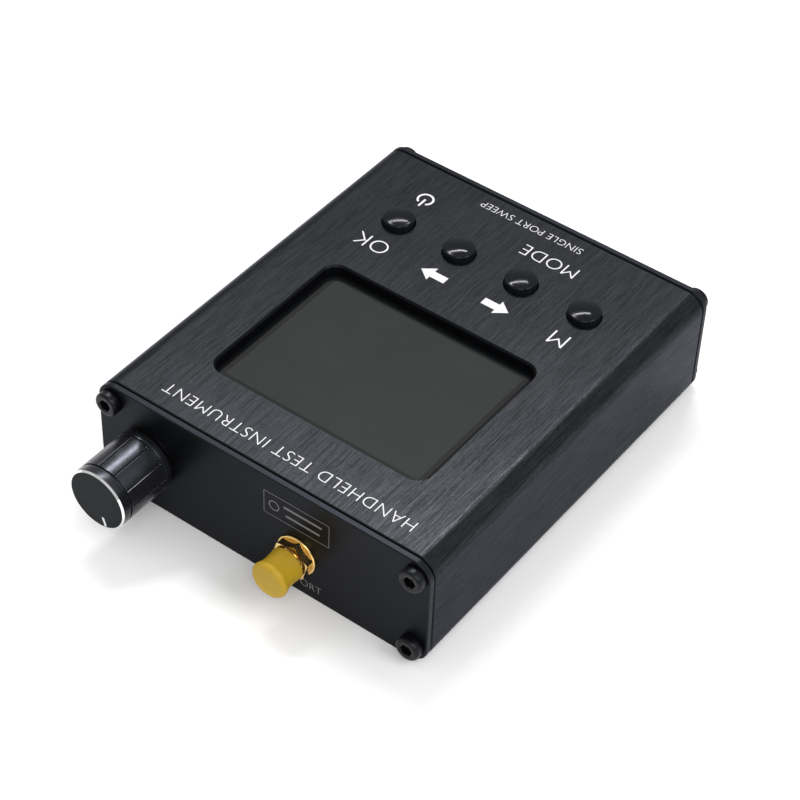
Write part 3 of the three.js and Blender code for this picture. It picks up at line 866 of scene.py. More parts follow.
@dataclass
class Case:
    """The extruded tube with its window and key holes, and the two end panels."""

    finishes: Finishes
    corner: float = 4.2
    wall: float = 2.2
    flat_margin: float = 0.4
    end_bevel: float = 0.2
    window: tuple[float, float, float] = (54.0, 41.3, 3.2)
    window_bevel: float = 0.42
    key_hole: float = 3.8
    key_bevel: float = 0.07
    panel_bevel: float = 0.21
    inner_bevel: float = 0.25
    screw_hole: float = 1.65
    port_hole: float = 3.4
    encoder_hole: float = 3.7
    socket_margin: float = 0.4
    socket_corner: float = 0.8
    arc_steps: int = 14

    def section(self, box: Extent, inset: float) -> Array:
        """Half outline of the tube, from the top's right flat round the bottom to its left flat.

        Each corner is a quarter circle of the corner radius less the inset.

        Args:
            box: The tube's box.
            inset: How far inside the outer face the outline runs.

        Returns:
            The open line in X and Z.
        """
        right, low, high = box.high[0] - inset, box.low[2] + inset, box.high[2] - inset
        radius = self.corner - inset
        turn = np.linspace(0, QUARTER_TURN, self.arc_steps + 1)
        sine, cosine = radius * np.sin(turn), radius * np.cos(turn)
        top = np.column_stack([right - radius + sine, high - radius + cosine])
        bottom = np.column_stack([right - radius + cosine, low + radius - sine])
        half = np.concatenate([[[self.flat_edge(box), high]], top, bottom])
        return np.concatenate([half, half[::-1] * [-1, 1]])

    def flat_edge(self, box: Extent) -> float:
        """Where the top's plain flat ends, just inside the corner's tangent line."""
        return box.high[0] - self.corner - self.flat_margin

    def hole_loops(self, bevel: bool) -> list[Array]:
        """Outlines of the window and of the key holes.

        Args:
            bevel: True for their bevels' outer edges, and False for their walls.

        Returns:
            The window's outline and then the key holes' ones, in X and Y.
        """
        window, keys = self.window_bevel * bevel, self.key_bevel * bevel
        centre = Extent.of("display_glass").centre
        loops = [rounded_rectangle(self.window[0] + 2 * window, self.window[1] + 2 * window,
                                   self.window[2] + window, centre[0], centre[1])]
        for number in NUMBERS:
            middle = Extent.of(f"key_cap_{number}").centre
            loops.append(circle(self.key_hole + keys, middle[0], middle[1]))
        return loops

    def tube(self) -> bpy.types.Object:
        """The tube: outside, inside, top and ceiling with their holes, hole walls and end faces.

        Returns:
            The piece.
        """
        box = Extent.of("case_shell")
        edge = self.flat_edge(box)
        rear, front, top, ceiling = box.low[1], box.high[1], box.high[2], box.high[2] - self.wall
        bevel = self.end_bevel
        outside = ((rear, bevel), (rear + bevel, 0), (front - bevel, 0), (front, bevel))
        inside = ((rear, self.wall), (front, self.wall))
        patches = []
        for sections in (outside, inside):
            rows = [standing(self.section(box, inset), y) for y, inset in sections]
            patches.append(grid(np.stack(rows), wrap=False))
        for y, inner in ((rear, rear + bevel), (front, front - bevel)):
            rows = [[[side, station, height] for side in (-edge, edge)]
                    for station, height in ((inner, top), (y, top - bevel))]
            patches.append(grid(np.array(rows), wrap=False))
            loops = [self.section(box, bevel), self.section(box, self.wall)]
            patches.append(filled(loops, lambda flat, y=y: standing(flat, y)))
        outer, walls = self.hole_loops(True), self.hole_loops(False)
        drops = [self.window_bevel] + [self.key_bevel] * (len(walls) - 1)
        frames = [(rear + bevel, front - bevel, outer, top), (rear, front, walls, ceiling)]
        for low, high, holes, height in frames:
            border = np.array([[-edge, low], [edge, low], [edge, high], [-edge, high]])
            patches.append(filled([border, *holes], facing_up(0, 0, height)))
        for rim, wall, drop in zip(outer, walls, drops):
            heights = ((rim, top), (wall, top - drop), (wall, ceiling))
            rows = [facing_up(0, 0, height)(loop) for loop, height in heights]
            patches.append(grid(np.stack(rows), finish=1))
        tube = solid("case_tube", patches, [self.finishes.case, self.finishes.panel])
        return settle(tube, "instrument", ["case_shell"])

    def panel(self, node: str, name: str, outward: int, holes: Sequence[Array]) -> bpy.types.Object:
        """An end panel: both faces, a bevelled rim and the walls of its holes.

        Args:
            node: The CAD node that it stands for.
            name: The piece's name.
            outward: 1 on the connector end and -1 on the other.
            holes: Outlines of its holes in X and Z.

        Returns:
            The piece.
        """
        box = Extent.of(node)
        outer, inner = (box.high[1], box.low[1]) if outward > 0 else (box.low[1], box.high[1])

        def outline(inset: float) -> Array:
            """The panel's outline, drawn in by the inset."""
            return rounded_rectangle(box.size[0] - 2 * inset, box.size[2] - 2 * inset, self.corner - inset,
                                     0, box.centre[2], self.arc_steps)

        bevel, back = self.panel_bevel, self.inner_bevel
        rim = [standing(outline(bevel), outer), standing(outline(0), outer - outward * bevel),
               standing(outline(0), inner + outward * back), standing(outline(back), inner)]
        # Finish 1, on the bevel and the edge, is the lighter copy of the panel finish: a painted highlight.
        patches = [grid(np.stack(rim[:3]), finish=1), grid(np.stack(rim[2:])),
                   filled([outline(bevel), *holes], lambda flat: standing(flat, outer)),
                   filled([outline(back), *holes], lambda flat: standing(flat, inner))]
        patches += [grid(np.stack([standing(hole, outer), standing(hole, inner)])) for hole in holes]
        piece = solid(name, patches, [self.finishes.panel, self.finishes.panel_rim_painted_highlight])
        return settle(piece, "instrument", [node])

    def screw_holes(self, end: str) -> list[Array]:
        """Outlines of an end's four screw holes."""
        centres = [Extent.of(f"{end}_screw_{number}").centre for number in NUMBERS]
        return [circle(self.screw_hole, centre[0], centre[2], 40) for centre in centres]

    def build(self) -> None:
        """Makes the tube and the panels."""
        self.tube()
        centres = [Extent.of(node).centre for node in ("port_nut", "encoder_nut")]
        round_holes = [circle(radius, centre[0], centre[2])
                       for radius, centre in zip((self.port_hole, self.encoder_hole), centres)]
        self.panel("front_panel", "front_plate", 1, self.screw_holes("front") + round_holes)
        socket, margin = Extent.of("usb_shell"), 2 * self.socket_margin
        mouth = rounded_rectangle(socket.size[0] + margin, socket.size[2] + margin, self.socket_corner,
                                  socket.centre[0], socket.centre[2], 6)
        self.panel("rear_panel", "rear_plate", -1, self.screw_holes("rear") + [mouth])


@dataclass
class PanelScrews:
    """Button-head screws with a hexagon socket, four at each end."""

    finishes: Finishes
    head: float = 2.75
    edge: float = 0.65
    rim: float = 0.12
    flats: float = 2.5
    socket_depth: float = 1.3
    socket_floor: float = 0.55
    socket_cone: float = 0.5
    shank: float = 1.35
    shank_end: float = 0.2
    underside: float = 0.15
    columns: int = 72

    def screw(self, node: str, outward: int) -> bpy.types.Object:
        """One screw: shank, head with a round edge, and a six-sided socket with a drilled floor.

        Args:
            node: The CAD node that it stands for.
            outward: 1 on the connector end and -1 on the other.

        Returns:
            The piece.
        """
        box = Extent.of(node)
        seat = Extent.of("front_panel" if outward > 0 else "rear_panel")
        face = seat.high[1] if outward > 0 else seat.low[1]
        reach = abs((box.high[1] if outward > 0 else box.low[1]) - face)
        length = box.size[1] - reach
        angle = np.linspace(0, FULL_TURN, self.columns, endpoint=False)
        hexagonal = hexagon(angle, self.flats)
        outside = rounded_path([(0, -length), (self.shank, -length), (self.shank, 0), (self.head, 0),
                                (self.head, reach), (hexagonal.max() + self.rim, reach)],
                               [0, self.shank_end, 0, self.underside, self.edge, 0], 8)
        rows = [np.full(self.columns, radius) for radius in outside[:, 0]]
        rows += [hexagonal, hexagonal, hexagonal * self.socket_floor, hexagonal * 0]
        heights = np.concatenate([outside[:, 1], [reach - self.rim, reach - self.socket_depth,
                                                  reach - self.socket_depth - 0.05,
                                                  reach - self.socket_depth - self.socket_cone]])
        patch = turned(np.stack(rows), face + outward * heights, box.centre, Axis.ALONG_Y)
        piece = solid(f"{node}_bolt", [patch], [self.finishes.screw])
        return settle(piece, "instrument", [node])

    def build(self) -> None:
        """Makes all eight screws."""
        for number in NUMBERS:
            self.screw(f"front_screw_{number}", 1)
            self.screw(f"rear_screw_{number}", -1)


# ------------------------------------------------------------------ display and keys


@dataclass
class Display:
    """The display cell in the window, with its film."""

    finishes: Finishes
    corner: float = 0.8
    bevel: float = 0.1
    film: tuple[float, float, float] = (51.4, 39.0, 0.4)
    film_thickness: float = 0.12
    film_bevel: float = 0.06
    film_sunk: float = 0.02

    def build(self) -> None:
        """Makes the cell and the film on it."""
        box = Extent.of("display_glass")
        place = facing_up(box.centre[0], box.centre[1], 0)
        low, top = box.low[2], box.high[2]
        cell = slab([rounded_rectangle(box.size[0], box.size[1], self.corner)], low, top, place, self.bevel)
        film = slab([rounded_rectangle(*self.film)], top - self.film_sunk, top + self.film_thickness, place,
                    self.film_bevel)
        look = [self.finishes.display]
        settle(solid("display_cell", cell, look), "instrument", ["display_glass"])
        settle(solid("display_film", film, look), "instrument")


@dataclass
class Keys:
    """Four glossy domed key caps."""

    finishes: Finishes
    shaft: float = 3.62
    dome_rise: float = 0.5
    dome_foot: tuple[float, float] = (0.55, 0.12)
    edge: float = 0.5
    flange: float = 1.1

    def cap(self, number: int) -> bpy.types.Object:
        """One cap: a flange, a shaft with a round edge, and a low dome.

        The dome's height over its foot is what is left of its rise times 1 - (r / R) squared, where R is the
        foot's radius. The foot is given as a share of the shaft and a height over the rim.

        Args:
            number: The key's number.

        Returns:
            The piece.
        """
        node = f"key_cap_{number}"
        box = Extent.of(node)
        low, crown = box.low[2], box.high[2]
        wide, rim, shoulder = box.size[0] / 2, crown - self.dome_rise, low + self.flange
        foot = (self.shaft * self.dome_foot[0], rim + self.dome_foot[1])
        side = rounded_path([(0, low), (wide, low), (wide, shoulder), (self.shaft, shoulder),
                             (self.shaft, rim), foot], [0, 0.2, 0.2, 0.1, self.edge, 0], 8)
        base = side[-2]
        radius = np.linspace(base[0], 0, 14)
        dome = np.column_stack([radius, base[1] + (crown - base[1]) * (1 - (radius / base[0]) ** 2)])
        profile = np.concatenate([side[:-1], dome[1:]])
        piece = solid(f"{node}_dome", [lathe(profile, box.centre, Axis.ALONG_Z)], [self.finishes.key])
        return settle(piece, f"key_{number}", [node])

    def build(self) -> None:
        """Makes the four caps."""
        for number in NUMBERS:
            self.cap(number)


# ------------------------------------------------------------------ knob


@dataclass
class Knob:
    """The turned tuning knob: grip with slots, two grooves, a bright bevel and a pointer line."""

    finishes: Finishes
    bevel: float = 0.37
    face_drop: float = 0.06
    rear_band: float = 2.0
    front_band: float = 2.5
    groove: float = 0.4
    groove_width: float = 0.42
    lip: float = 0.06
    slots: int = 11
    slot_at: float = 112.3
    slot_depth: float = 0.4
    slot_run: float = 0.12
    slot_profile: tuple[tuple[float, float], ...] = ((0.13, 1.0), (0.17, 0.2), (0.27, 0.0))
    land_spans: int = 16
    recess: float = 6.3
    recess_depth: float = 3.2
    sleeve: float = 4.8
    sleeve_end: float = 3.2
    pointer: tuple[float, float] = (4.4, 6.62)
    pointer_width: float = 0.62
    pointer_sunk: float = 0.02
    pointer_at: float = -107.0

    def columns(self, outer: float) -> tuple[Array, Array, Array]:
        """The columns round the knob, which fall on the slots' own edges.

        Each slot's arc distances give angles when divided by the radius, and the land between two slots is
        evenly divided.

        Args:
            outer: The full radius.

        Returns:
            The angles, the share of the slot's depth at each, and the finish's number after each.
        """
        across = np.array([reach for reach, _ in self.slot_profile])
        share = np.array([depth for _, depth in self.slot_profile])
        pitch = FULL_TURN / self.slots
        lands = np.linspace(across[-1] / outer, pitch - across[-1] / outer, self.land_spans + 1)[1:-1]
        angles = np.concatenate([-across[::-1] / outer, [0], across / outer, lands])
        depths = np.concatenate([share[::-1], [1], share, 0 * lands])
        # Finish 2, on each slot's two edge faces, is the lighter metal that is partly worn edge and partly
        # painted glint.
        edge = np.zeros(len(angles), dtype=int)
        edge[[0, 2 * len(across) - 1]] = 2
        starts = math.radians(self.slot_at) + pitch * np.arange(self.slots)
        return (starts[:, None] + angles).ravel(), np.tile(depths, self.slots), np.tile(edge, self.slots)

    def body(self, box: Extent) -> bpy.types.Object:
        """The knob's metal: bore, rear band, slotted grip, front band, bright bevel and spun face.

        The grip's radius is the full one less the slot's depth times its share by column and by station.

        Args:
            box: The knob's box.

        Returns:
            The piece.
        """
        rear, front, outer = box.low[1], box.high[1], box.size[0] / 2
        bore = np.array([(0, front - self.sleeve_end), (self.sleeve, front - self.sleeve_end),
                         (self.sleeve, rear + self.recess_depth), (self.recess, rear + self.recess_depth),
                         (self.recess, rear)])
        low, high = rear + self.rear_band, front - self.front_band
        half = self.groove_width / 2

        def groove(at: float) -> list[tuple[float, float]]:
            """The four corners of a groove about a station."""
            return [(outer, at - half), (outer - self.groove, at - half), (outer - self.groove, at + half),
                    (outer, at + half)]

        lip = self.lip
        back = rounded_path([tuple(bore[-1]), (outer, rear), *groove(low)], [0, 0.25, lip, lip, lip, 0], 3)
        start, end, run = low + half, high - half, self.slot_run
        stations = np.array([start, start + 0.02, start + run, end - run, end - 0.02, end])
        open_share = np.array([0, 0, 1, 1, 0, 0])
        angles, depths, edges = self.columns(outer)
        grip = outer - self.slot_depth * depths[None, :] * open_share[:, None]
        ahead = rounded_path([*groove(high), (outer, front - self.bevel)], [0, lip, lip, lip, 0], 3)
        face_at = front - self.face_drop
        rim = outer - self.bevel
        rings = [(radius, face_at) for radius in np.linspace(rim - 0.4, 0, 8)]
        face = np.array([(rim, front), (rim - lip, face_at), *rings])
        cut = np.array([(outer, front - self.bevel), (rim, front)])
        centre = box.centre
        patches = [turned(grip, stations, centre, Axis.ALONG_Y, angles, edges)]
        patches += [lathe(line, centre, Axis.ALONG_Y, angles) for line in (bore, back, ahead)]
        patches += [lathe(cut, centre, Axis.ALONG_Y, angles, 1), lathe(face, centre, Axis.ALONG_Y, angles, 3)]
        look = self.finishes
        looks = [look.knob, look.bright, look.slot_edge, look.knob_face]
        piece = solid("tuning_knob_body", patches, looks, sharp=20)
        return settle(piece, "tuning_knob", ["knob_body"])

    def build(self) -> None:
        """Makes the knob and its pointer line."""
        box = Extent.of("knob_body")
        self.body(box)
        turn = math.radians(self.pointer_at)
        out, side = np.array([math.cos(turn), math.sin(turn)]), np.array([-math.sin(turn), math.cos(turn)])
        corners = [out * reach + side * across * self.pointer_width / 2
                   for reach, across in zip(np.repeat(self.pointer, 2), (-1, 1, 1, -1))]
        loop = np.array(corners) + [box.centre[0], box.centre[2]]
        face = box.high[1] - self.face_drop

        def place(points: Array) -> Array:
            """Stands flat points on the knob's face."""
            return np.column_stack([points[:, 0], face + points[:, 2], points[:, 1]])

        pointer = slab([loop], -self.pointer_sunk, self.face_drop - self.pointer_sunk, place)
        settle(solid("knob_pointer", pointer, [self.finishes.ink]), "tuning_knob")


# ------------------------------------------------------------------ radio port


@dataclass
class Port:
    """The coaxial port: threaded barrel, washer, nut, insulator, contact and dust cap."""

    finishes: Finishes
    pitch: float = 0.7056
    thread: float = 3.1
    thread_depth: float = 0.3
    thread_start: float = 49.0
    bore: float = 2.3
    flange: float = 4.4
    flange_depth: float = 3.0
    contact_hole: float = 0.95
    contact_mouth: float = 0.46
    washer_bore: float = 3.4
    washer_rim: float = 0.75
    washer_step: float = 0.22
    nut_bore: float = 3.3
    nut_flats: float = 8.0
    nut_corner: float = 43.6
    nut_chamfer: float = 22.0
    nut_break: float = 0.25
    nut_seat: float = 0.2
    cap_bore: float = 3.4
    cap_end: float = 0.6
    cap_waist: float = 3.76
    cap_waist_at: float = 2.6
    cap_skirt: float = 3.98
    cap_flare_at: float = 1.2
    cap_flare_power: float = 2.2
    cap_end_flat: float = 2.4
    cap_end_edge: float = 0.95
    columns: int = 72

    def barrel(self) -> None:
        """The barrel: its radius is a sawtooth of station over pitch less angle, faded at both ends."""
        box = Extent.of("port_body")
        centre = Extent.of("port_nut").centre
        tip, rear, outer = box.high[1], box.low[1], self.thread
        ahead = rear + self.flange_depth
        stations = np.arange(self.thread_start, tip - 0.35, self.pitch / 8)
        angle = np.linspace(0, FULL_TURN, self.columns, endpoint=False)
        phase = (stations[:, None] / self.pitch - angle[None, :] / FULL_TURN) % 1
        tooth = np.clip(np.abs(phase - 0.5) * 2.6 - 0.25, 0, 1)
        fade = np.clip(np.minimum(stations - stations[0], stations[-1] - stations) / 0.3, 0, 1)
        radius = outer - self.thread_depth * tooth * fade[:, None]
        flat = np.ones(self.columns)
        before = rounded_path([(self.bore, rear), (self.flange, rear), (self.flange, ahead), (outer, ahead),
                               (outer, stations[0])], [0, 0.2, 0.2, 0, 0], 4)
        after = np.array([(outer, stations[-1]), (outer - 0.35, tip), (self.bore + 0.1, tip),
                          (self.bore, tip - 0.1), (self.bore, rear)])
        rows = np.concatenate([before[:, :1] * flat, radius, after[:, :1] * flat])
        along = np.concatenate([before[:, 1], stations, after[:, 1]])
        patch = turned(rows, along, centre, Axis.ALONG_Y)
        piece = solid("port_barrel", [patch], [self.finishes.gold], sharp=50)
        settle(piece, "instrument", ["port_body"])

    def core(self) -> None:
        """The insulator, and the contact with its drilled mouth."""
        centre = Extent.of("port_nut").centre
        tube, pin = Extent.of("port_insulator"), Extent.of("port_contact")
        outer, inner = tube.size[0] / 2, self.contact_hole
        rear, front = tube.low[1], tube.high[1]
        ring = rounded_path([(inner, rear), (outer, rear), (outer, front), (inner, front), (inner, rear)],
                            [0, 0.1, 0.15, 0.1, 0], 4)
        piece = solid("port_dielectric", [lathe(ring, centre, Axis.ALONG_Y, 48)], [self.finishes.insulator])
        settle(piece, "instrument", ["port_insulator"])
        radius, mouth, hole = pin.size[0] / 2, self.contact_mouth, self.contact_mouth - 0.08
        rear, front = pin.low[1], pin.high[1]
        line = rounded_path([(0, rear), (radius, rear), (radius, front), (mouth, front), (hole, front - 0.15),
                             (hole, front - 2.2), (0, front - 2.4)], [0, 0.2, 0.12, 0, 0, 0, 0], 4)
        piece = solid("port_centre_contact", [lathe(line, centre, Axis.ALONG_Y, 32)], [self.finishes.gold])
        settle(piece, "instrument", ["port_contact"])

    def washer(self) -> None:
        """The washer: a ring with a raised round rim, seated on the panel."""
        box = Extent.of("port_washer")
        seat = Extent.of("front_panel").high[1]
        inner, outer, top = self.washer_bore, box.size[0] / 2, box.high[1]
        rim, step = outer - self.washer_rim, top - self.washer_step
        profile = rounded_path([(inner, seat), (outer, seat), (outer, top), (rim, top), (rim - 0.1, step),
                                (inner, step), (inner, seat)], [0, 0.12, 0.3, 0.25, 0.05, 0.1, 0], 5)
        piece = solid("port_ring", [lathe(profile, box.centre, Axis.ALONG_Y)], [self.finishes.turned_gold])
        settle(piece, "instrument", ["port_washer"])

    def nut(self) -> None:
        """The hexagon nut: its corners are cut back by a cone at both faces.

        The side runs between the heights where the chamfer's cone, from the face's circle, meets the hexagon.
        """
        box = Extent.of("port_nut")
        angle = np.linspace(0, FULL_TURN, 6 * 16, endpoint=False)
        side = hexagon(angle - math.radians(self.nut_corner), self.nut_flats)
        face = self.nut_flats / 2 - 0.02
        drop = (side - face) * math.tan(math.radians(self.nut_chamfer))
        low, high = Extent.of("port_washer").high[1] - self.nut_seat, box.high[1]
        bore, cut = self.nut_bore, self.nut_break
        full = np.ones_like(side)
        radii = (bore, bore + cut, face, side, side, face, bore + cut, bore, bore)
        along = (low + cut, low, low, low + drop, high - drop, high, high, high - cut, low + cut)
        rows, stations = (np.stack([value * full for value in values]) for values in (radii, along))
        patch = turned(rows, stations, box.centre, Axis.ALONG_Y)
        piece = solid("port_hex_nut", [patch], [self.finishes.gold])
        settle(piece, "instrument", ["port_nut"])

    def dust_cap(self) -> None:
        """The cap: a waist that swells a little to the skirt and, more, to the closed end.

        The outer radius is the waist's plus a squared rise towards the skirt or a rise by the flare's power
        towards the end, and the end is a low dome inside a round edge.
        """
        box = Extent.of("dust_cap")
        rear, front, flare = box.low[1], box.high[1], box.size[0] / 2
        skirt, waist = self.cap_skirt, self.cap_waist
        waist_at, flare_at = rear + self.cap_waist_at, front - self.cap_flare_at
        station = np.linspace(rear + 0.15, flare_at, 26)
        towards_skirt = np.clip((waist_at - station) / (waist_at - rear), 0, 1) ** 2 * (skirt - waist)
        share = np.clip((station - waist_at) / (flare_at - waist_at), 0, 1)
        radius = waist + towards_skirt + (flare - waist) * share ** self.cap_flare_power
        end = rounded_path([(flare, flare_at), (flare, front - 0.1), (self.cap_end_flat, front), (0, front)],
                           [0, self.cap_end_edge, 6, 0], 12)
        bore, floor = self.cap_bore, front - self.cap_end
        inside = rounded_path([(0, floor), (bore, floor), (bore, rear), (skirt - 0.08, rear)],
                              [0, 0.3, 0.15, 0], 5)
        profile = np.concatenate([inside, np.column_stack([radius, station]), end[1:]])
        piece = solid("port_dust_cap", [lathe(profile, box.centre, Axis.ALONG_Y)], [self.finishes.cap])
        settle(piece, "port_cap", ["dust_cap"])

    def build(self) -> None:
        """Makes every piece of the port."""
        self.barrel()
        self.core()
        self.washer()
        self.nut()
        self.dust_cap()


# ------------------------------------------------------------------ socket and inside


@dataclass
class ChargingSocket:
    """The charging socket: a folded metal shell with a tongue and five contacts."""

    finishes: Finishes
    wall: float = 0.3
    corner: float = 0.6
    depth: float = 4.6
    pinch: float = 0.1
    tongue: tuple[float, float, float] = (3.9, 4.4, 0.6)
    tongue_at: tuple[float, float] = (0.6, 0.35)
    contact: tuple[float, float] = (0.3, 3.4)
    contact_pitch: float = 0.65

    def build(self) -> None:
        """Makes the shell, the tongue and the contacts.

        The shell's lower half narrows by the pinch times its depth under the middle.
        """
        box = Extent.of("usb_shell")
        x, z = box.centre[0], box.centre[2]
        mouth, back = box.low[1], box.high[1]

        def loop(inset: float, y: float) -> Array:
            """The shell's outline, drawn in by the inset, at a station."""
            flat = rounded_rectangle(box.size[0] - 2 * inset, box.size[2] - 2 * inset, self.corner, x, z, 6)
            share = 1 - self.pinch * np.clip((z - flat[:, 1]) / box.size[2] * 2, 0, 1)
            return np.column_stack([x + (flat[:, 0] - x) * share, np.full(len(flat), y), flat[:, 1]])

        floor = mouth + self.depth
        edges = ((0.05, back), (0, back - 0.1), (0, mouth + 0.05), (0.06, mouth), (self.wall - 0.05, mouth),
                 (self.wall, mouth + 0.08), (self.wall, floor))
        rows = np.stack([loop(inset, y) for inset, y in edges])
        outer = filled([loop(0.05, back)[:, [0, 2]]], lambda flat: standing(flat, back))
        inner = filled([loop(self.wall, floor)[:, [0, 2]]], lambda flat: standing(flat, floor))
        piece = solid("socket_shell", [grid(rows), outer, inner], [self.finishes.tin])
        settle(piece, "instrument", ["usb_shell"])

        def ahead(points: Array) -> Array:
            """Carries level points into the shell."""
            place = np.array([x, mouth + self.tongue_at[0], z + self.tongue_at[1]])
            return points + place

        width, length, half = self.tongue[0], self.tongue[1], self.tongue[2] / 2
        tongue = slab([rounded_rectangle(width, length, 0.25, 0, length / 2, 4)], -half, half, ahead, 0.08)
        settle(solid("socket_tongue", tongue, [self.finishes.black]), "instrument")
        strips = [rounded_rectangle(*self.contact, 0.1, index * self.contact_pitch, 2.0, 3)
                  for index in range(-2, 3)]
        contacts = [patch for strip in strips for patch in slab([strip], -half - 0.06, -half + 0.02, ahead)]
        settle(solid("socket_contacts", contacts, [self.finishes.gold]), "instrument")


@dataclass
class Inside:
    """The pieces that keep their CAD shape, each with its own finish."""

    finishes: Finishes

    def build(self) -> None:
        """Dresses every CAD node that no piece stands for."""
        look = self.finishes
        groups = {
            look.board: ["main_board", "rf_board", "encoder_board"],
            look.tin: ["display_backlight", "rf_shield_can", "encoder_bushing", "encoder_washer",
                       "encoder_nut", "encoder_shaft"],
            look.black: ["display_spacer", "board_header", "processor_chip", "encoder_body",
                         "encoder_actuator", "knob_insert", *[f"key_switch_{number}" for number in NUMBERS],
                         *[f"key_plunger_{number}" for number in NUMBERS]],
            look.brass: [f"board_spacer_{number}" for number in NUMBERS],
            look.foil: ["battery_pack"],
            look.insulator: ["battery_plug"],
        }
        for material, nodes in groups.items():
            for node in nodes:
                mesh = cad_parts[node].data
                mesh.materials.clear()
                mesh.materials.append(material)
                LOG.info("%-24s keeps its CAD shape", node)


# ------------------------------------------------------------------ printed marks


@dataclass
class Marks:
    """Generic printed signs on the top and on the front panel."""

    finishes: Finishes
    ink: float = 0.014
    sunk: float = 0.004
    upper_row: float = 9.3
    lower_row: float = -9.9
    mode_at: tuple[float, float] = (-9.2, -37.6)
    title_at: tuple[float, float] = (-1.5, 43.0)
    foot_at: tuple[float, float] = (0.2, -44.5)
    field_at: tuple[float, float] = (-9.5, 20.8)
    field: tuple[float, float] = (16.4, 6.2)
    field_line: float = 0.14
    ring_at: float = 5.6

    def slabs(self, loops: Sequence[Array], place: Placer) -> list[Patch]:
        """A printed shape: a thin plate whose underside sits just inside the metal."""
        return slab(loops, -self.sunk, self.ink, place)

    def arrow(self, direction: int, place: Placer) -> list[Patch]:
        """A block arrow along the row: a shaft and a broad head.

        Args:
            direction: 1 to the right and -1 to the left.
            place: Where it is printed.

        Returns:
            Its patches.
        """
        tip, neck, tail, shaft, head = 3.25, 0.35, -3.25, 1.0, 2.2
        loop = np.array([(tail, -shaft), (neck, -shaft), (neck, -head), (tip, 0), (neck, head), (neck, shaft),
                         (tail, shaft)]) * [direction, 1]
        return self.slabs([loop[::direction]], place)

    def band(self, radius: float, width: float, start: float, end: float, place: Placer) -> list[Patch]:
        """Part of a flat ring.

        Args:
            radius: The middle of its stroke.
            width: The stroke's width.
            start: Where it starts, in degrees.
            end: Where it ends, in degrees.
            place: Where it is printed.

        Returns:
            Its patches.
        """
        angle = np.radians(np.linspace(start, end, 48))
        spoke = np.column_stack([np.cos(angle), np.sin(angle)])
        loop = np.concatenate([spoke * (radius + width / 2), spoke[::-1] * (radius - width / 2)])
        return self.slabs([loop], place)

    def bar(self, length: float, width: float, x: float, y: float, turn: float, place: Placer) -> list[Patch]:
        """A straight stroke, turned about its own middle.

        Args:
            length: Its length.
            width: Its width.
            x: Its middle, to the right of the place.
            y: Its middle, above the place.
            turn: Its turn in degrees.
            place: Where it is printed.

        Returns:
            Its patches.
        """
        loop = rounded_rectangle(length, width, width * 0.2, 0, 0, 3)
        angle = math.radians(turn)
        spin = np.array([[math.cos(angle), math.sin(angle)], [-math.sin(angle), math.cos(angle)]])
        return self.slabs([loop @ spin + [x, y]], place)

    def top(self) -> None:
        """The signs by the keys, and the plain lines of words."""
        box = Extent.of("case_shell")
        keys = [Extent.of(f"key_cap_{number}").centre for number in range(1, 5)]
        top = box.high[2]
        above = [facing_up(key[0], key[1] + self.upper_row, top) for key in keys]
        below = [facing_up(key[0], key[1] + self.lower_row, top) for key in keys]

        def words(text: str, cap_height: float, at: Sequence[float], spacing: float = 1.0) -> list[Patch]:
            """Words printed level about a point on the top."""
            place = facing_up(at[0], at[1], top - self.sunk)
            return [lettering(text, cap_height, self.ink + self.sunk, place, spacing=spacing)]

        power = self.band(1.75, 0.5, 122, 418, below[3]) + self.bar(2.7, 0.5, 0, 1.35, 90, below[3])
        pieces = {
            "power_sign": power,
            "menu_letter": words("M", 4.1, (keys[0][0] + 0.2, keys[0][1] + self.upper_row + 0.1)),
            "confirm_letters": words("OK", 4.0, (keys[3][0] + 0.35, keys[3][1] + self.upper_row)),
            "left_arrow": self.arrow(-1, above[1]),
            "right_arrow": self.arrow(1, above[2]),
            "mode_word": words("MODE", 3.4, self.mode_at),
            "title_words": words("HANDHELD TEST INSTRUMENT", 2.8, self.title_at, 1.07),
            "foot_words": words("SINGLE PORT SWEEP", 1.9, self.foot_at),
        }
        for name, patches in pieces.items():
            settle(solid(name, patches, [self.finishes.ink]), "instrument")

    def front(self) -> None:
        """A plain outlined field with bars and a ring, and two words under the port."""
        face = Extent.of("front_panel").high[1]
        port = Extent.of("port_nut").centre
        x, z = self.field_at
        place = facing_front(x, face, z)
        width, height, line = *self.field, 2 * self.field_line
        outline = self.slabs([rounded_rectangle(width, height, 0.2, 0, 0, 3),
                              rounded_rectangle(width - line, height - line, 0.1, 0, 0, 3)], place)
        bars = [patch for y, length in ((1.2, 9.5), (-1.0, 8.5))
                for patch in self.bar(length, 0.55, 1.6, y, 0, place)]
        ring = self.band(1.2, 0.25, 0, 359, facing_front(x + self.ring_at, face, z))
        piece = solid("field_outline", outline + bars + ring, [self.finishes.faint_ink])
        settle(piece, "instrument")
        below = facing_front(port[0] + 0.8, face - self.sunk, 3.35)
        word = lettering("TEST PORT", 1.8, self.ink + self.sunk, below, -0.03)
        settle(solid("port_word", [word], [self.finishes.dim_ink]), "instrument")

    def build(self) -> None:
        """Makes all the marks."""
        self.top()
        self.front()


# ------------------------------------------------------------------ studio


@dataclass
class Softbox:
    """A soft rectangular light."""

    name: str
    at: tuple[float, float, float]
    size: tuple[float, float]
    watts: float

    def build(self) -> None:
        """Hangs the light and turns it to the instrument."""
        lamp = bpy.data.lights.new(self.name, "AREA")
        lamp.shape = "RECTANGLE"
        lamp.size, lamp.size_y = self.size
        lamp.energy = self.watts
        holder = bpy.data.objects.new(self.name, lamp)
        holder.location = self.at
        holder.rotation_euler = (-Vector(self.at)).to_track_quat("-Z", "Y").to_euler()
        bpy.context.scene.collection.objects.link(holder)


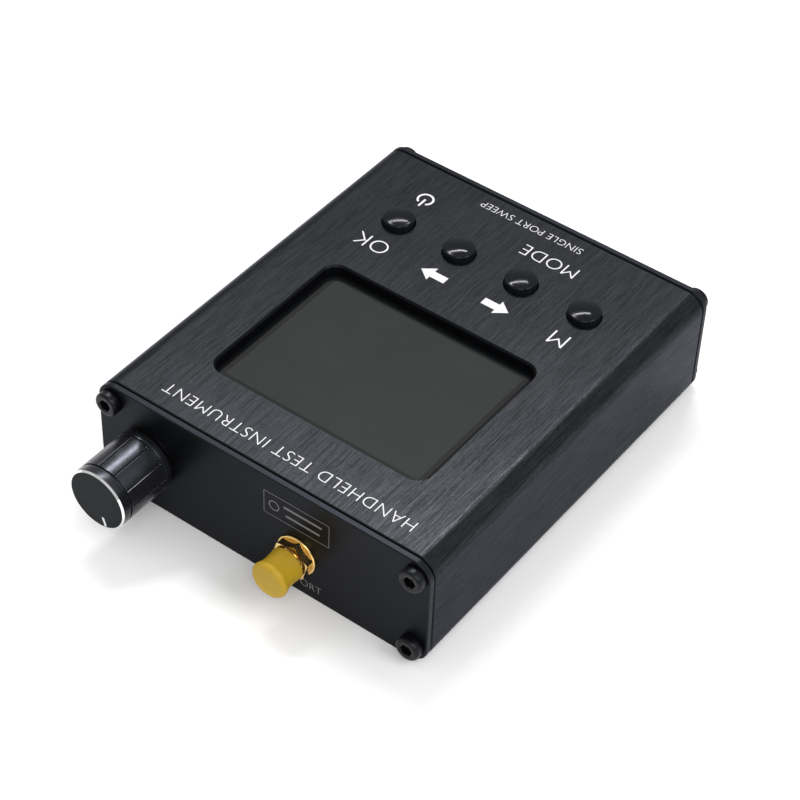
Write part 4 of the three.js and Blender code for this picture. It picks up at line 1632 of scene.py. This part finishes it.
@dataclass
class Studio:
    """The camera, the pale floor and the soft lights; lengths here are metres."""

    azimuth: float = 215.134
    elevation: float = 44.214
    roll: float = 2.406
    lens: float = 108.378
    position: tuple[float, float, float] = (-0.21033, 0.30178, 0.36720)
    floor_side: float = 6.0
    floor_drop: float = 0.00002
    sky: float = 0.6

    def camera(self) -> None:
        """Sets the camera by where it stands, how it looks round and down, and its slight roll."""
        turn = Euler((math.radians(90 - self.elevation), 0, math.radians(self.azimuth))).to_matrix()
        lens = bpy.data.cameras.new("view_camera")
        lens.lens = self.lens
        lens.clip_start = 0.01
        holder = bpy.data.objects.new("view_camera", lens)
        rolled = turn @ Matrix.Rotation(math.radians(self.roll), 3, "Z")
        holder.matrix_world = Matrix.Translation(self.position) @ rolled.to_4x4()
        bpy.context.scene.collection.objects.link(holder)
        bpy.context.scene.camera = holder

    def floor(self) -> None:
        """A level sheet under the instrument."""
        half = self.floor_side / 2 / MM
        loop = np.array([(-half, -half), (half, -half), (half, half), (-half, half)])
        floor = solid("studio_floor", [filled([loop], facing_up(0, 0, 0))], [StudioFloor().material()])
        floor.data.transform(Matrix.Translation((0, 0, -self.floor_drop)))

    def light(self) -> None:
        """An even pale sky and three softboxes."""
        world = bpy.data.worlds.new("studio")
        world.use_nodes = True
        background = world.node_tree.nodes["Background"]
        background.inputs["Color"].default_value = (1, 1, 1, 1)
        background.inputs["Strength"].default_value = self.sky
        bpy.context.scene.world = world
        bpy.context.scene.view_settings.view_transform = "Standard"
        Softbox("overhead_light", (0.375, -0.41, 0.9), (0.7, 0.05), 6.4).build()
        Softbox("front_light", (-0.5, 0.7, 0.9), (0.6, 0.5), 5).build()
        Softbox("side_light", (-0.95, -0.1, 0.9), (0.6, 0.6), 6).build()

    def build(self) -> None:
        """Sets up the whole studio."""
        self.camera()
        self.floor()
        self.light()


def main() -> None:
    """Builds the studio and each sub-assembly in order."""
    logging.basicConfig(level=logging.INFO, format="%(message)s")
    finishes = Finishes()
    assemblies = (Case, PanelScrews, Display, Keys, Knob, Port, ChargingSocket, Inside, Marks)
    for part in (Studio(), *(assembly(finishes) for assembly in assemblies)):
        LOG.info("building %s", type(part).__name__)
        part.build()


if __name__ == "__main__":
    main()
